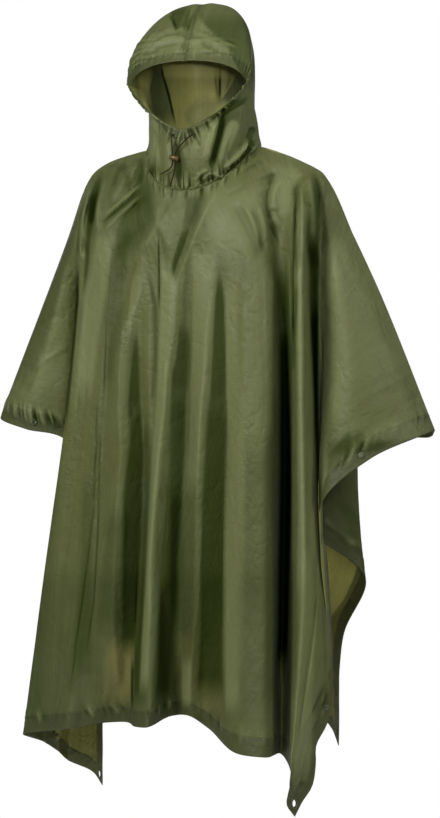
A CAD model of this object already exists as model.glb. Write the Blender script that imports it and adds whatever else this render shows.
"""Rain poncho, worn: the looks. Coated ripstop panels and hood with their folds, turned and
stitched edges, eyelets, snaps, toggle and drawcord, on a plain pale floor.

Metres. +X is the wearer's left, -Y is forwards, +Z is up, the origin is between the shoulders.
"""

import math

import bmesh
import bpy
import numpy as np
from mathutils import Matrix, Vector


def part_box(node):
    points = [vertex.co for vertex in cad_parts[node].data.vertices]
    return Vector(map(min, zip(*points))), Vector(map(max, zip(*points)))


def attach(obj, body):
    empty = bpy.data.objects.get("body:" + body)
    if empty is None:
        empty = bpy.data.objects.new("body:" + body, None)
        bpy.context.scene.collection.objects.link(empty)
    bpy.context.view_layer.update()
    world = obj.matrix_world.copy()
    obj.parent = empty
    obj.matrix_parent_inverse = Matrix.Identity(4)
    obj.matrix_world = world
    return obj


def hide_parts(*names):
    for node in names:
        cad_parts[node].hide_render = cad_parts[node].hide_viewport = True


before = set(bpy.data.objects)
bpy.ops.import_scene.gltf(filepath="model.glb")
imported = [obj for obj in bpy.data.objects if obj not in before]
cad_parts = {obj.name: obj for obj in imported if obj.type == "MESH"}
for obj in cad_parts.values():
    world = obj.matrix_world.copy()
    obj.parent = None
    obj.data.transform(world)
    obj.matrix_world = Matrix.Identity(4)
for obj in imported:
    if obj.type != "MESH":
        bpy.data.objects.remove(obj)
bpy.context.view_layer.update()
SIDES = ((-1, "right"), (1, "left"))

# Cloth
CLOTH = 0.0012  # wall of a single layer of coated cloth in the solids
HEM_WIDTH = 0.035
CASING_WIDTH = 0.020  # turned edge round the face
NECK_RISE = 0.0005  # the hood's lower edge stands this far above the panels' neck edge
DROP = 1.06  # cut length of a panel from the shoulder line to the hem
CUT_WIDTH = 1.50

# Neck seam: a ring that dips at the throat
NECK_HALF_WIDTH = 0.109
NECK_CENTRE_Y = -0.018
NECK_DEPTH = {-1: 0.102, 1: 0.118}  # from the sides of the neck to the throat and to the nape
NECK_SIDE_Z = 0.050
NECK_FRONT_Z = -0.039
NECK_BACK_Z = 0.055
NECK_ARC = 0.20  # seam length from the centre line to the side of the neck
THROAT_DIP = 1.3  # how late the ring dips on its way to the throat

# Top line of the panels, from the side of the neck over the shoulder and down the arm: x, z.
# Seen from above it is straight, so that front and back meet in one upright plane.
RIDGE_LEFT = (
    (0.109, 0.050),
    (0.165, 0.032),
    (0.212, 0.010),
    (0.237, -0.006),
    (0.257, -0.047),
    (0.344, -0.232),
    (0.447, -0.490),
)
RIDGE_RIGHT = (
    (-0.109, 0.050),
    (-0.165, 0.039),
    (-0.202, 0.028),
    (-0.234, 0.009),
    (-0.256, -0.025),
    (-0.290, -0.112),
    (-0.443, -0.459),
)
RIDGE_SLOPE = 0.125  # metres backwards for each metre outwards
RIDGE_SAMPLES = 121
SHOULDER_AND_ARM = 0.67  # length of the top line from the neck to the arm's end

# Levels of a panel, as shares of its drop
ROLL, SLEEVE_MID, CHEST, ELBOW, THIGH = 0.07, 0.15, 0.25, 0.46, 0.74
CHEST_Z, ELBOW_Z, THIGH_Z = -0.20, -0.45, -0.80
ROLL_OUT, ROLL_DOWN = 0.66, 0.33  # how far the roll over the shoulder has got at level ROLL
MID_OUT = 0.72  # and how much of the rest at SLEEVE_MID

# Fold lines of the front from the wearer's right to left: crests and valleys in turn.
# top is the place along the top line, from the centre front; then x and y at three levels.
# top, x_chest, y_chest, x_elbow, y_elbow, x_thigh, y_thigh, x_hem, y_hem, z_hem
FRONT_FOLDS = (
    (-0.390, -0.234, -0.075, -0.249, -0.100, -0.307, -0.085, -0.361, -0.055, -1.083),
    (-0.355, -0.213, -0.085, -0.208, -0.110, -0.256, -0.103, -0.288, -0.105, -1.068),
    (-0.310, -0.173, -0.108, -0.154, -0.126, -0.191, -0.128, -0.226, -0.155, -1.056),
    (-0.250, -0.149, -0.116, -0.138, -0.132, -0.168, -0.136, -0.200, -0.140, -1.053),
    (-0.195, -0.100, -0.126, -0.118, -0.138, -0.140, -0.142, -0.175, -0.128, -1.047),
    (-0.150, -0.081, -0.130, -0.098, -0.140, -0.116, -0.143, -0.130, -0.100, -1.045),
    (-0.110, -0.053, -0.136, -0.057, -0.143, -0.070, -0.146, -0.074, -0.180, -1.043),
    (-0.060, -0.023, -0.144, -0.021, -0.146, -0.038, -0.148, -0.042, -0.200, -1.040),
    (0.015, 0.007, -0.143, -0.007, -0.148, -0.029, -0.147, -0.034, -0.100, -1.030),
    (0.055, 0.041, -0.148, 0.040, -0.150, 0.021, -0.147, 0.015, -0.130, -1.025),
    (0.090, 0.075, -0.148, 0.065, -0.152, 0.054, -0.152, 0.046, -0.115, -1.048),
    (0.135, 0.108, -0.150, 0.119, -0.158, 0.124, -0.170, 0.134, -0.205, -1.080),
    (0.200, 0.165, -0.146, 0.168, -0.153, 0.177, -0.170, 0.187, -0.205, -1.085),
    (0.265, 0.183, -0.100, 0.188, -0.085, 0.180, -0.070, 0.175, -0.070, -1.096),
    (0.335, 0.232, -0.125, 0.239, -0.145, 0.244, -0.150, 0.224, -0.160, -1.119),
    (0.380, 0.237, -0.050, 0.240, -0.055, 0.256, -0.120, 0.221, -0.155, -1.137),
)

# Lines of the sleeves and sides, which run from the arm inwards and then hang down.
# in is where the line turns down beside the body, hang and low are further down.
# top, x_in, y_in, z_in, x_hang, y_hang, z_hang, x_low, y_low, z_low, x_hem, y_hem, z_hem
FRONT_RIGHT_SLEEVE = (
    (-0.870, -0.280, -0.022, -0.514, -0.240, 0.045, -0.74, -0.232, 0.038, -0.99,
     -0.227, 0.028, -1.187),
    (-0.780, -0.272, -0.014, -0.455, -0.250, 0.040, -0.69, -0.258, 0.058, -0.95,
     -0.262, 0.060, -1.166),
    (-0.690, -0.265, -0.010, -0.400, -0.255, 0.030, -0.62, -0.285, 0.052, -0.91,
     -0.324, 0.080, -1.149),
    (-0.590, -0.255, -0.012, -0.310, -0.258, 0.010, -0.54, -0.300, 0.025, -0.86,
     -0.328, 0.035, -1.124),
    (-0.475, -0.243, -0.022, -0.220, -0.255, -0.012, -0.46, -0.312, 0.000, -0.81,
     -0.365, 0.060, -1.113),
)
FRONT_LEFT_SLEEVE = (
    (0.500, 0.250, -0.045, -0.260, 0.243, -0.028, -0.50, 0.262, -0.125, -0.84,
     0.219, -0.150, -1.150),
    (0.600, 0.256, -0.055, -0.390, 0.247, -0.050, -0.60, 0.270, -0.110, -0.885,
     0.215, -0.149, -1.162),
    (0.710, 0.262, -0.085, -0.515, 0.263, -0.105, -0.70, 0.272, -0.085, -0.93,
     0.2123, -0.1456, -1.178),
    (0.870, 0.270, -0.115, -0.620, 0.245, 0.000, -0.75, 0.277, -0.073, -0.973,
     0.2195, -0.122, -1.203),
)
# The front left edge swings in above its corner, and the line beside it follows: share, x, y, z
LEFT_CORNER_SWING = (
    (0.80, 0.270, -0.082, -1.032), (0.85, 0.252, -0.095, -1.074), (0.885, 0.250, -0.090, -1.107),
    (0.93, 0.243, -0.091, -1.150), (0.967, 0.2267, -0.0984, -1.178),
)
INNER_CORNER_SWING = ((0.92, 0.230, -0.116, -1.118), (0.967, 0.2195, -0.122, -1.1536))
SLEEVE_BULGE = 0.045  # how far the sleeve stands out between the arm and the body
# how much of the way in x, y and z is done at SLEEVE_MID, on the right (-1) and the left (1)
SLEEVE_MIDWAY = {-1: (0.52, 0.50, 0.56), 1: (0.52, 0.50, 0.40)}
ARM_ROLL = (0.022, 0.045, 0.013)  # in, out and down at the roll over the arm

# Fold lines of the back, from the wearer's right to left, in the columns of the front
BACK_FOLDS = (
    (-0.370, -0.222, 0.105, -0.225, 0.165, -0.250, 0.200, -0.270, 0.225, -1.050),
    (-0.310, -0.190, 0.100, -0.185, 0.120, -0.205, 0.130, -0.220, 0.140, -1.040),
    (-0.255, -0.155, 0.130, -0.150, 0.175, -0.165, 0.210, -0.175, 0.245, -1.020),
    (-0.205, -0.115, 0.120, -0.110, 0.140, -0.120, 0.155, -0.125, 0.165, -1.020),
    (-0.140, -0.080, 0.135, -0.070, 0.175, -0.075, 0.215, -0.075, 0.255, -1.010),
    (-0.075, -0.045, 0.125, -0.030, 0.145, -0.030, 0.165, -0.030, 0.180, -1.010),
    (0.000, 0.000, 0.135, 0.012, 0.180, 0.020, 0.220, 0.025, 0.260, -1.010),
    (0.070, 0.040, 0.125, 0.055, 0.140, 0.065, 0.160, 0.065, 0.170, -1.015),
    (0.140, 0.080, 0.135, 0.090, 0.175, 0.105, 0.210, 0.105, 0.250, -1.020),
    (0.210, 0.115, 0.120, 0.130, 0.140, 0.135, 0.160, 0.135, 0.175, -1.030),
    (0.270, 0.160, 0.125, 0.168, 0.175, 0.165, 0.210, 0.155, 0.245, -1.040),
    (0.340, 0.205, 0.100, 0.205, 0.140, 0.165, 0.175, 0.160, 0.200, -1.050),
)
BACK_RIGHT_SLEEVE = (
    (-0.870, -0.285, 0.085, -0.500, -0.270, 0.100, -0.73, -0.285, 0.110, -0.96,
     -0.300, 0.120, -1.150),
    (-0.780, -0.278, 0.105, -0.440, -0.262, 0.135, -0.66, -0.290, 0.160, -0.93,
     -0.325, 0.170, -1.130),
    (-0.690, -0.272, 0.090, -0.370, -0.270, 0.110, -0.60, -0.302, 0.125, -0.89,
     -0.338, 0.115, -1.110),
    (-0.590, -0.265, 0.105, -0.290, -0.262, 0.150, -0.52, -0.295, 0.185, -0.84,
     -0.320, 0.200, -1.090),
    (-0.475, -0.250, 0.085, -0.220, -0.245, 0.108, -0.46, -0.275, 0.120, -0.80,
     -0.298, 0.130, -1.070),
)
# The left side of the back folds forwards under the arm and opens again below the elbow:
# top, then share, x, y, z of each station.
BACK_LEFT_LAPEL = (
    (0.480, ((0.25, 0.262, 0.130, -0.270), (0.35, 0.250, 0.150, -0.390), (0.46, 0.245, 0.160, -0.500),
             (0.56, 0.220, 0.180, -0.640), (0.74, 0.172, 0.195, -0.840), (1.00, 0.165, 0.220, -1.060))),
    (0.620, ((0.25, 0.270, 0.120, -0.380), (0.35, 0.262, 0.105, -0.480), (0.46, 0.264, 0.108, -0.600),
             (0.56, 0.262, 0.150, -0.725), (0.74, 0.192, 0.165, -0.860), (1.00, 0.185, 0.215, -1.080))),
    (0.760, ((0.25, 0.290, 0.115, -0.470), (0.35, 0.240, 0.090, -0.550), (0.46, 0.235, 0.085, -0.640),
             (0.56, 0.275, 0.135, -0.750), (0.74, 0.215, 0.132, -0.872), (1.00, 0.200, 0.190, -1.092))),
    (0.870, ((0.25, 0.290, 0.110, -0.530), (0.35, 0.200, 0.080, -0.610), (0.46, 0.190, 0.062, -0.680),
             (0.56, 0.282, 0.122, -0.775), (0.74, 0.244, 0.100, -0.887), (1.00, 0.216, 0.160, -1.106))),
)

# Half sections of the hood, from the neck seam over the head to the face edge.
# back lies on the centre seam, side is the widest place, front lies on the throat seam.
# share, y_back, z_back, x_side, y_side, z_side, y_front, z_front, square_back, square_front
HOOD_SECTIONS = (
    (0.00, 0.100, 0.055, 0.1090, -0.018, 0.050, -0.120, -0.039, 1.00, 1.00),
    (0.10, 0.090, 0.077, 0.1015, -0.026, 0.077, -0.127, -0.008, 0.95, 1.00),
    (0.22, 0.082, 0.105, 0.0995, -0.031, 0.100, -0.130, 0.020, 0.92, 1.02),
    (0.34, 0.079, 0.150, 0.0990, -0.034, 0.125, -0.129, 0.042, 0.90, 1.08),
    (0.46, 0.078, 0.215, 0.1000, -0.036, 0.150, -0.128, 0.055, 0.88, 1.15),
    (0.58, 0.060, 0.278, 0.1025, -0.042, 0.168, -0.128, 0.062, 0.86, 1.22),
    (0.70, 0.016, 0.317, 0.1080, -0.062, 0.176, -0.127, 0.066, 0.84, 1.30),
    (0.80, -0.028, 0.322, 0.1165, -0.084, 0.177, -0.127, 0.069, 0.80, 1.36),
    (0.90, -0.072, 0.284, 0.1235, -0.102, 0.172, -0.127, 0.071, 0.78, 1.43),
    (1.00, -0.120, 0.203, 0.1145, -0.094, 0.157, -0.127, 0.074, 0.88, 1.50),
)

# Soft folds of the hood: where each runs round the half (turn) at its low and high end,
# between which shares it lies, how wide it is in turns and how far it stands out (metres).
# turn_low, turn_high, low, high, width, depth
HOOD_FOLDS = {
    -1: (
        (0.62, 0.70, 0.00, 0.42, 0.050, 0.0050),
        (0.78, 0.80, 0.00, 0.30, 0.040, -0.0040),
        (0.30, 0.38, 0.00, 0.34, 0.060, -0.0050),
        (0.14, 0.16, 0.30, 0.80, 0.060, -0.0040),
        (0.45, 0.52, 0.45, 0.95, 0.050, 0.0040),
    ),
    1: (
        (0.66, 0.62, 0.00, 0.60, 0.045, -0.0070),
        (0.74, 0.72, 0.00, 0.55, 0.040, 0.0060),
        (0.48, 0.52, 0.05, 0.50, 0.050, 0.0045),
        (0.34, 0.36, 0.00, 0.30, 0.050, -0.0050),
        (0.16, 0.14, 0.30, 0.80, 0.060, -0.0040),
    ),
}
FOLD_SHARPNESS = 0.8  # how fast a fold of the hood deepens from its ends

# Hardware
CORNER_BORE, CORNER_FLANGE = 0.0066, 0.0106
CORNER_CLEAR, CORNER_RIM = 0.0050, 0.0074  # hole in the cloth: cells cleared, radius of its rim
CORD_BORE, CORD_FLANGE = 0.0025, 0.0046
SNAP_SPOTS = ("cuff", "side")
SNAP_CAP = (  # radius, height above the cloth
    (0.0, 0.0011), (0.0016, 0.0010), (0.0023, 0.0013), (0.0030, 0.0021), (0.0044, 0.0025),
    (0.0055, 0.0021), (0.0061, 0.0011), (0.0062, 0.0003), (0.0060, -0.0002), (0.0, -0.0002),
)
TOGGLE_RADIUS = 0.0045
TOGGLE_LENGTH = 0.0185
TOGGLE_PLACE = (-0.0150, -0.1355, 0.0205)
TOGGLE_TILT = 16.0  # degrees, wearer's left end lower
TOGGLE_SHAPE = (  # from the middle to an end: share of the radius, share of half the length
    (0.94, 0.0), (0.93, 0.20), (0.90, 0.40), (0.85, 0.46), (0.88, 0.52), (0.97, 0.56), (1.0, 0.66),
    (0.98, 0.80), (0.88, 0.92), (0.72, 0.98), (0.50, 1.00), (0.0, 1.00),
)

# Drawcord: each end leaves its eyelet, passes the toggle and hangs free
CORD_RADIUS = 0.0012
CORD_POINTS = 34
CORD_ROUTES = {
    "drawcord_right": (
        (-0.0189, -0.1262, 0.0641),
        (-0.0198, -0.1298, 0.0641),
        (-0.0204, -0.1330, 0.0634),
        (-0.0203, -0.1352, 0.0605),
        (-0.0196, -0.1362, 0.0550),
        (-0.0187, -0.1362, 0.0440),
        (-0.0180, -0.1358, 0.0330),
        (-0.0177, -0.1355, 0.0270),
        (-0.0177, -0.1355, 0.0205),
        (-0.0177, -0.1355, 0.0140),
        (-0.0184, -0.1354, 0.0080),
        (-0.0215, -0.1350, 0.0025),
        (-0.0275, -0.1338, -0.0020),
        (-0.0350, -0.1312, -0.0050),
        (-0.0440, -0.1270, -0.0085),
    ),
    "drawcord_left": (
        (0.0195, -0.1262, 0.0641),
        (0.0205, -0.1297, 0.0641),
        (0.0208, -0.1330, 0.0636),
        (0.0195, -0.1356, 0.0615),
        (0.0150, -0.1370, 0.0580),
        (0.0070, -0.1374, 0.0510),
        (-0.0020, -0.1370, 0.0420),
        (-0.0095, -0.1361, 0.0330),
        (-0.0121, -0.1355, 0.0270),
        (-0.0123, -0.1355, 0.0205),
        (-0.0123, -0.1355, 0.0140),
        (-0.0124, -0.1355, 0.0070),
        (-0.0136, -0.1354, -0.0020),
        (-0.0165, -0.1349, -0.0125),
        (-0.0205, -0.1337, -0.0235),
        (-0.0235, -0.1320, -0.0335),
    ),
}


# ------------------------------------------------------------------ curves


def smooth_curve(points, shares):
    """Points of a centripetal Catmull-Rom curve at shares (segment number + fraction)."""
    pts = np.asarray(points, float)
    shares = np.atleast_1d(np.asarray(shares, float))
    pts = np.vstack([2 * pts[0] - pts[1], pts, 2 * pts[-1] - pts[-2]])
    gaps = np.maximum(np.linalg.norm(np.diff(pts, axis=0), axis=1), 1e-6) ** 0.5
    knots = np.concatenate([[0.0], np.cumsum(gaps)])
    i = np.clip(shares.astype(int), 0, len(pts) - 4)
    f = (shares - i)[:, None]
    t0, t1, t2, t3 = (knots[i + k][:, None] for k in range(4))
    p0, p1, p2, p3 = (pts[i + k] for k in range(4))
    t = t1 + f * (t2 - t1)
    a1 = ((t1 - t) * p0 + (t - t0) * p1) / (t1 - t0)
    a2 = ((t2 - t) * p1 + (t - t1) * p2) / (t2 - t1)
    a3 = ((t3 - t) * p2 + (t - t2) * p3) / (t3 - t2)
    b1 = ((t2 - t) * a1 + (t - t0) * a2) / (t2 - t0)
    b2 = ((t3 - t) * a2 + (t - t1) * a3) / (t3 - t1)
    return ((t2 - t) * b1 + (t - t1) * b2) / (t2 - t1)


def curve_at(stations, shares):
    """A curve through rows of (share, x, y, z), read at the given shares."""
    table = np.asarray(stations, float)
    marks = table[:, 0]
    places = np.interp(shares, marks, np.arange(len(marks)))
    return smooth_curve(table[:, 1:], places)


def run_along(line):
    """Length from the first point of a line to each of its points."""
    return np.concatenate([[0.0], np.cumsum(np.linalg.norm(np.diff(line, axis=0), axis=1))])


def ease(value, low, high):
    """Smooth step from 0 at low to 1 at high."""
    share = np.clip((value - low) / (high - low), 0.0, 1.0)
    return share * share * (3 - 2 * share)


def uneven(along, lengths, start=0.0):
    """A wave of several lengths that don't repeat together, about -1 to 1."""
    total = sum(np.sin(2 * math.pi * along / length + start + 1.7 * k) / (1 + 0.25 * k)
                for k, length in enumerate(lengths))
    return total / sum(1 / (1 + 0.25 * k) for k in range(len(lengths)))


def blurred(field, widths):
    """A field after a Gaussian blur, with the widths in cells."""
    for axis, width in enumerate(widths):
        reach = int(3 * width) + 1
        weights = np.exp(-0.5 * (np.arange(-reach, reach + 1) / width) ** 2)
        weights /= weights.sum()
        pad = [(0, 0), (0, 0)]
        pad[axis] = (reach, reach)
        padded = np.pad(field, pad, mode="edge")
        field = sum(w * np.take(padded, np.arange(k, k + field.shape[axis]), axis=axis)
                    for k, w in enumerate(weights))
    return field


# ------------------------------------------------------------------ lines of the panels


def ridge_point(along, table):
    """Point of the top line at a share of its length, 0 at the neck and 1 at the arm's end."""
    fine = smooth_curve(table, np.linspace(0, len(table) - 1, RIDGE_SAMPLES))
    run = run_along(fine)
    at = along * run[-1]
    x, z = np.interp(at, run, fine[:, 0]), np.interp(at, run, fine[:, 1])
    return np.array([x, NECK_CENTRE_Y + (abs(x) - NECK_HALF_WIDTH) * RIDGE_SLOPE, z])


def neck_ring(arc, facing):
    """Point of the neck seam, arc metres from the centre line; facing is -1 front, 1 back."""
    angle = arc / NECK_ARC * math.pi / 2
    x = NECK_HALF_WIDTH * math.sin(angle)
    y = NECK_CENTRE_Y + facing * NECK_DEPTH[facing] * math.cos(angle)
    if facing < 0:
        z = NECK_SIDE_Z + (NECK_FRONT_Z - NECK_SIDE_Z) * math.cos(angle) ** THROAT_DIP
    else:
        z = NECK_SIDE_Z + (NECK_BACK_Z - NECK_SIDE_Z) * math.cos(angle)
    return np.array([x, y, z])


def top_point(top, facing):
    """Point where a fold line leaves the top line; top is metres from the centre, + on the left."""
    if abs(top) <= NECK_ARC:
        return neck_ring(top, facing)
    along = (abs(top) - NECK_ARC) / SHOULDER_AND_ARM
    return ridge_point(along, RIDGE_LEFT if top > 0 else RIDGE_RIGHT)


def body_line(row, facing):
    """Stations of a fold line that hangs over the chest or back."""
    top, xc, yc, xe, ye, xt, yt, xh, yh, zh = row
    start = top_point(top, facing)
    chest = np.array([xc, yc, CHEST_Z])
    roll = start + (chest - start) * np.array([ROLL_DOWN, ROLL_OUT, ROLL_DOWN])
    mid_share = (SLEEVE_MID - ROLL) / (CHEST - ROLL)
    mid = roll + (chest - roll) * np.array([mid_share, MID_OUT, mid_share])
    return (
        (0.0, *start), (ROLL, *roll), (SLEEVE_MID, *mid), (CHEST, *chest),
        (ELBOW, xe, ye, ELBOW_Z), (THIGH, xt, yt, THIGH_Z), (1.0, xh, yh, zh),
    )


def arm_stations(top, inner, facing):
    """Stations of a line between the arm and the place where it turns down."""
    start = top_point(top, facing)
    inner = np.asarray(inner, float)
    inwards, out, down = ARM_ROLL
    roll = start + np.array([-math.copysign(inwards, start[0]), facing * out, -down])
    mid = start + (inner - start) * np.array(SLEEVE_MIDWAY[int(math.copysign(1, top))])
    mid[1] += facing * SLEEVE_BULGE
    return (0.0, *start), (ROLL, *roll), (SLEEVE_MID, *mid)


def sleeve_line(row, facing, swing=()):
    """Stations of a line that runs in from the arm and hangs down beside the body."""
    top, xi, yi, zi, xg, yg, zg, xl, yl, zl, xh, yh, zh = row
    return (
        *arm_stations(top, (xi, yi, zi), facing), (CHEST, xi, yi, zi), (ELBOW, xg, yg, zg),
        (THIGH, xl, yl, zl), *swing, (1.0, xh, yh, zh),
    )


def lapel_line(row, facing):
    """Stations of a line of the back's left side, which folds forwards under the arm."""
    top, stations = row
    return arm_stations(top, stations[0][1:], facing) + stations


def front_lines():
    """Fold lines of the front from the wearer's right to left, and where each leaves the top line."""
    lines = [sleeve_line(row, -1) for row in FRONT_RIGHT_SLEEVE]
    lines += [body_line(row, -1) for row in FRONT_FOLDS]
    lines += [sleeve_line(row, -1) for row in FRONT_LEFT_SLEEVE[:-2]]
    lines.append(sleeve_line(FRONT_LEFT_SLEEVE[-2], -1, INNER_CORNER_SWING))
    lines.append(sleeve_line(FRONT_LEFT_SLEEVE[-1], -1, LEFT_CORNER_SWING))
    return lines, [row[0] for row in FRONT_RIGHT_SLEEVE + FRONT_FOLDS + FRONT_LEFT_SLEEVE]


def back_lines():
    """The same for the back."""
    lines = [sleeve_line(row, 1) for row in BACK_RIGHT_SLEEVE]
    lines += [body_line(row, 1) for row in BACK_FOLDS]
    lines += [lapel_line(row, 1) for row in BACK_LEFT_LAPEL]
    return lines, [row[0] for row in BACK_RIGHT_SLEEVE + BACK_FOLDS + BACK_LEFT_LAPEL]


# ------------------------------------------------------------------ camera

VIEW_TURN = math.radians(20.0)  # the camera stands this far to the wearer's left of the front
VIEW_DISTANCE = 5.0
VIEW_SIDE = 0.026
VIEW_HEIGHT = -0.45
VIEW_LENS = 114.6
VIEW_SENSOR = 36.0
VIEW_RIGHT = np.array([math.cos(VIEW_TURN), math.sin(VIEW_TURN), 0.0])
VIEW_BACK = np.array([math.sin(VIEW_TURN), -math.cos(VIEW_TURN), 0.0])


def put(name, data):
    """A new object in the scene."""
    item = bpy.data.objects.new(name, data)
    bpy.context.scene.collection.objects.link(item)
    return item


def stand_in(item, node):
    """The item is seen in place of a node's solid."""
    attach(item, "root")
    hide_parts(node)
    return item


def make_camera():
    data = bpy.data.cameras.new("camera")
    data.lens = VIEW_LENS
    data.sensor_width = VIEW_SENSOR
    camera = put("camera", data)
    right, back, up = Vector(VIEW_RIGHT), Vector(VIEW_BACK), Vector((0.0, 0.0, 1.0))
    turn = Matrix((right, up, back)).transposed().to_4x4()
    place = right * VIEW_SIDE + up * VIEW_HEIGHT + back * VIEW_DISTANCE
    camera.matrix_world = Matrix.Translation(place) @ turn
    bpy.context.scene.camera = camera


def seen(grid):
    """Where a point stands in the upright plane through the shoulders, seen from the front left
    at five metres: metres to the right of the origin's line of sight and up."""
    near = VIEW_DISTANCE / (VIEW_DISTANCE - grid @ VIEW_BACK)
    return np.stack([(grid @ VIEW_RIGHT - VIEW_SIDE) * near, (grid[:, :, 2] - VIEW_HEIGHT) * near], 2)


# ------------------------------------------------------------------ materials

RIPSTOP = 0.0050  # spacing of the strong threads
STITCH_LINE = 0.0325  # from the turned edge
STITCH = 0.0034  # from one stitch to the next
THREAD_GREEN = (0.200, 0.225, 0.100, 1.0)
NOT_LIT = (0.0, 0.0, 0.0, 1.0)
SHINE_THROUGH = 0.12
BRAID_TURNS = 5200.0  # radians for each metre of cord


def dimmed(colour, share):
    return tuple(c * share for c in colour[:3]) + (1.0,)


OUTER_GREEN = (0.158, 0.178, 0.062, 1.0)
OUTER_OLIVE = (0.136, 0.154, 0.045, 1.0)
OUTSIDE = {
    "main": OUTER_GREEN,
    "second": OUTER_OLIVE,
    "shade": (0.017, 0.030, 0.003, 1.0),  # depths of the folds, where cloth lies on cloth
    "glow": (0.250, 0.238, 0.076, 1.0),  # single cloth with the light behind it
    "lit": (0.022, 0.018, 0.005, 1.0),  # light that comes through it there
    "threads": 0.15,  # how clearly the strong threads show
    "turned": dimmed(OUTER_OLIVE, 0.42),
    "turned_share": 0.62,  # how much of the turned edge's own colour shows
}
INSIDE = {
    "main": (0.340, 0.335, 0.100, 1.0),
    "second": (0.265, 0.268, 0.066, 1.0),
    "shade": (0.020, 0.024, 0.006, 1.0),
    "glow": (0.560, 0.530, 0.180, 1.0),
    "lit": (0.100, 0.098, 0.026, 1.0),
    "threads": 0.30,
    "turned": dimmed(OUTER_GREEN, 0.62),  # the outer face, turned to the inside
    "turned_share": 0.90,
}
HOOD_INSIDE = dict(INSIDE, glow=(0.100, 0.135, 0.050, 1.0), lit=NOT_LIT, threads=0.38)


class Look:
    """A material under construction: nodes are added and joined by short calls."""

    def __init__(self, name):
        self.made = bpy.data.materials.new(name)
        self.made.use_nodes = True
        self.tree = self.made.node_tree
        self.tree.nodes.clear()

    def join(self, source, socket):
        if isinstance(source, (int, float, tuple)):
            socket.default_value = source
        else:
            self.tree.links.new(source, socket)

    def node(self, kind, *sources, **settings):
        """A new node. The sources feed its first inputs."""
        made = self.tree.nodes.new(kind)
        for key, value in settings.items():
            setattr(made, key, value)
        for socket, source in zip(made.inputs, sources):
            self.join(source, socket)
        return made

    def fed(self, kind, **sources):
        """First output of a new node. The sources feed the inputs of their names."""
        made = self.node(kind)
        for key, source in sources.items():
            self.join(source, made.inputs[key.replace("_", " ")])
        return made.outputs[0]

    def math(self, operation, a, b=0.0):
        return self.node("ShaderNodeMath", a, b, operation=operation).outputs[0]

    def times(self, a, b):
        return self.math("MULTIPLY", a, b)

    def total(self, first, *others):
        """Sum of values, each times its weight."""
        made = self.times(*first)
        for value, weight in others:
            made = self.math("ADD", made, self.times(value, weight))
        return made

    def wave(self, value, length):
        return self.math("SINE", self.times(value, 2 * math.pi / length))

    def gap(self, a, b):
        return self.math("ABSOLUTE", self.math("SUBTRACT", a, b))

    def ramp(self, value, low, high, start=0.0, end=1.0):
        return self.node("ShaderNodeMapRange", value, low, high, start, end).outputs[0]

    def mix(self, share, a, b):
        made = self.node("ShaderNodeMix", share, data_type="RGBA", clamp_factor=True)
        self.join(a, made.inputs[6])
        self.join(b, made.inputs[7])
        return made.outputs[2]

    def over(self, share, below, above):
        return self.node("ShaderNodeMixShader", share, below, above).outputs[0]

    def noise(self, vector, scale, detail=2.0, rough=0.5):
        return self.fed("ShaderNodeTexNoise", Vector=vector, Scale=scale, Detail=detail, Roughness=rough)

    def place(self):
        return self.node("ShaderNodeTexCoord").outputs["Object"]

    def attribute(self, name):
        """The three numbers of an attribute."""
        return self.split(self.node("ShaderNodeAttribute", attribute_name=name).outputs["Vector"])

    def split(self, vector):
        return self.node("ShaderNodeSeparateXYZ", vector).outputs

    def bump(self, height, strength, distance):
        return self.fed("ShaderNodeBump", Height=height, Strength=strength, Distance=distance)

    def finish(self, shader):
        self.join(shader, self.node("ShaderNodeOutputMaterial").inputs["Surface"])
        return self.made

    def solid(self, colour, rough, **more):
        """A Principled shader."""
        return self.fed("ShaderNodeBsdfPrincipled", Base_Color=colour, Roughness=rough, **more)


def cloth_marks(look, stitch_line):
    """Where the strong threads, the stitches, their groove, the turned edge and faint streaks lie,
    0 to 1. The attribute cut holds metres across, down and to the nearest turned edge."""
    across, down, edge = look.attribute("cut")
    threads = [look.ramp(look.math("ABSOLUTE", look.wave(along, 2 * RIPSTOP)), 0.0, 0.30, 1.0, 0.0)
               for along in (across, down)]
    off = look.gap(edge, stitch_line)
    near = look.ramp(off, 0.0004, 0.0011, 1.0, 0.0)
    dash = look.ramp(look.wave(look.math("ADD", across, down), STITCH), -0.6, -0.2)
    # streaks run down the cloth, where it was folded and hangs
    run = look.node("ShaderNodeCombineXYZ", look.times(across, 95.0), look.times(down, 3.0)).outputs[0]
    return {
        "threads": look.math("MAXIMUM", *threads),
        "stitches": look.times(near, dash),
        "groove": look.ramp(off, 0.0, 0.0030, 1.0, 0.0),
        "turned": look.ramp(edge, stitch_line - 0.0005, stitch_line + 0.0005, 1.0, 0.0),
        "streaks": look.noise(run, 1.0, 2.0, 0.6),
    }


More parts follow.
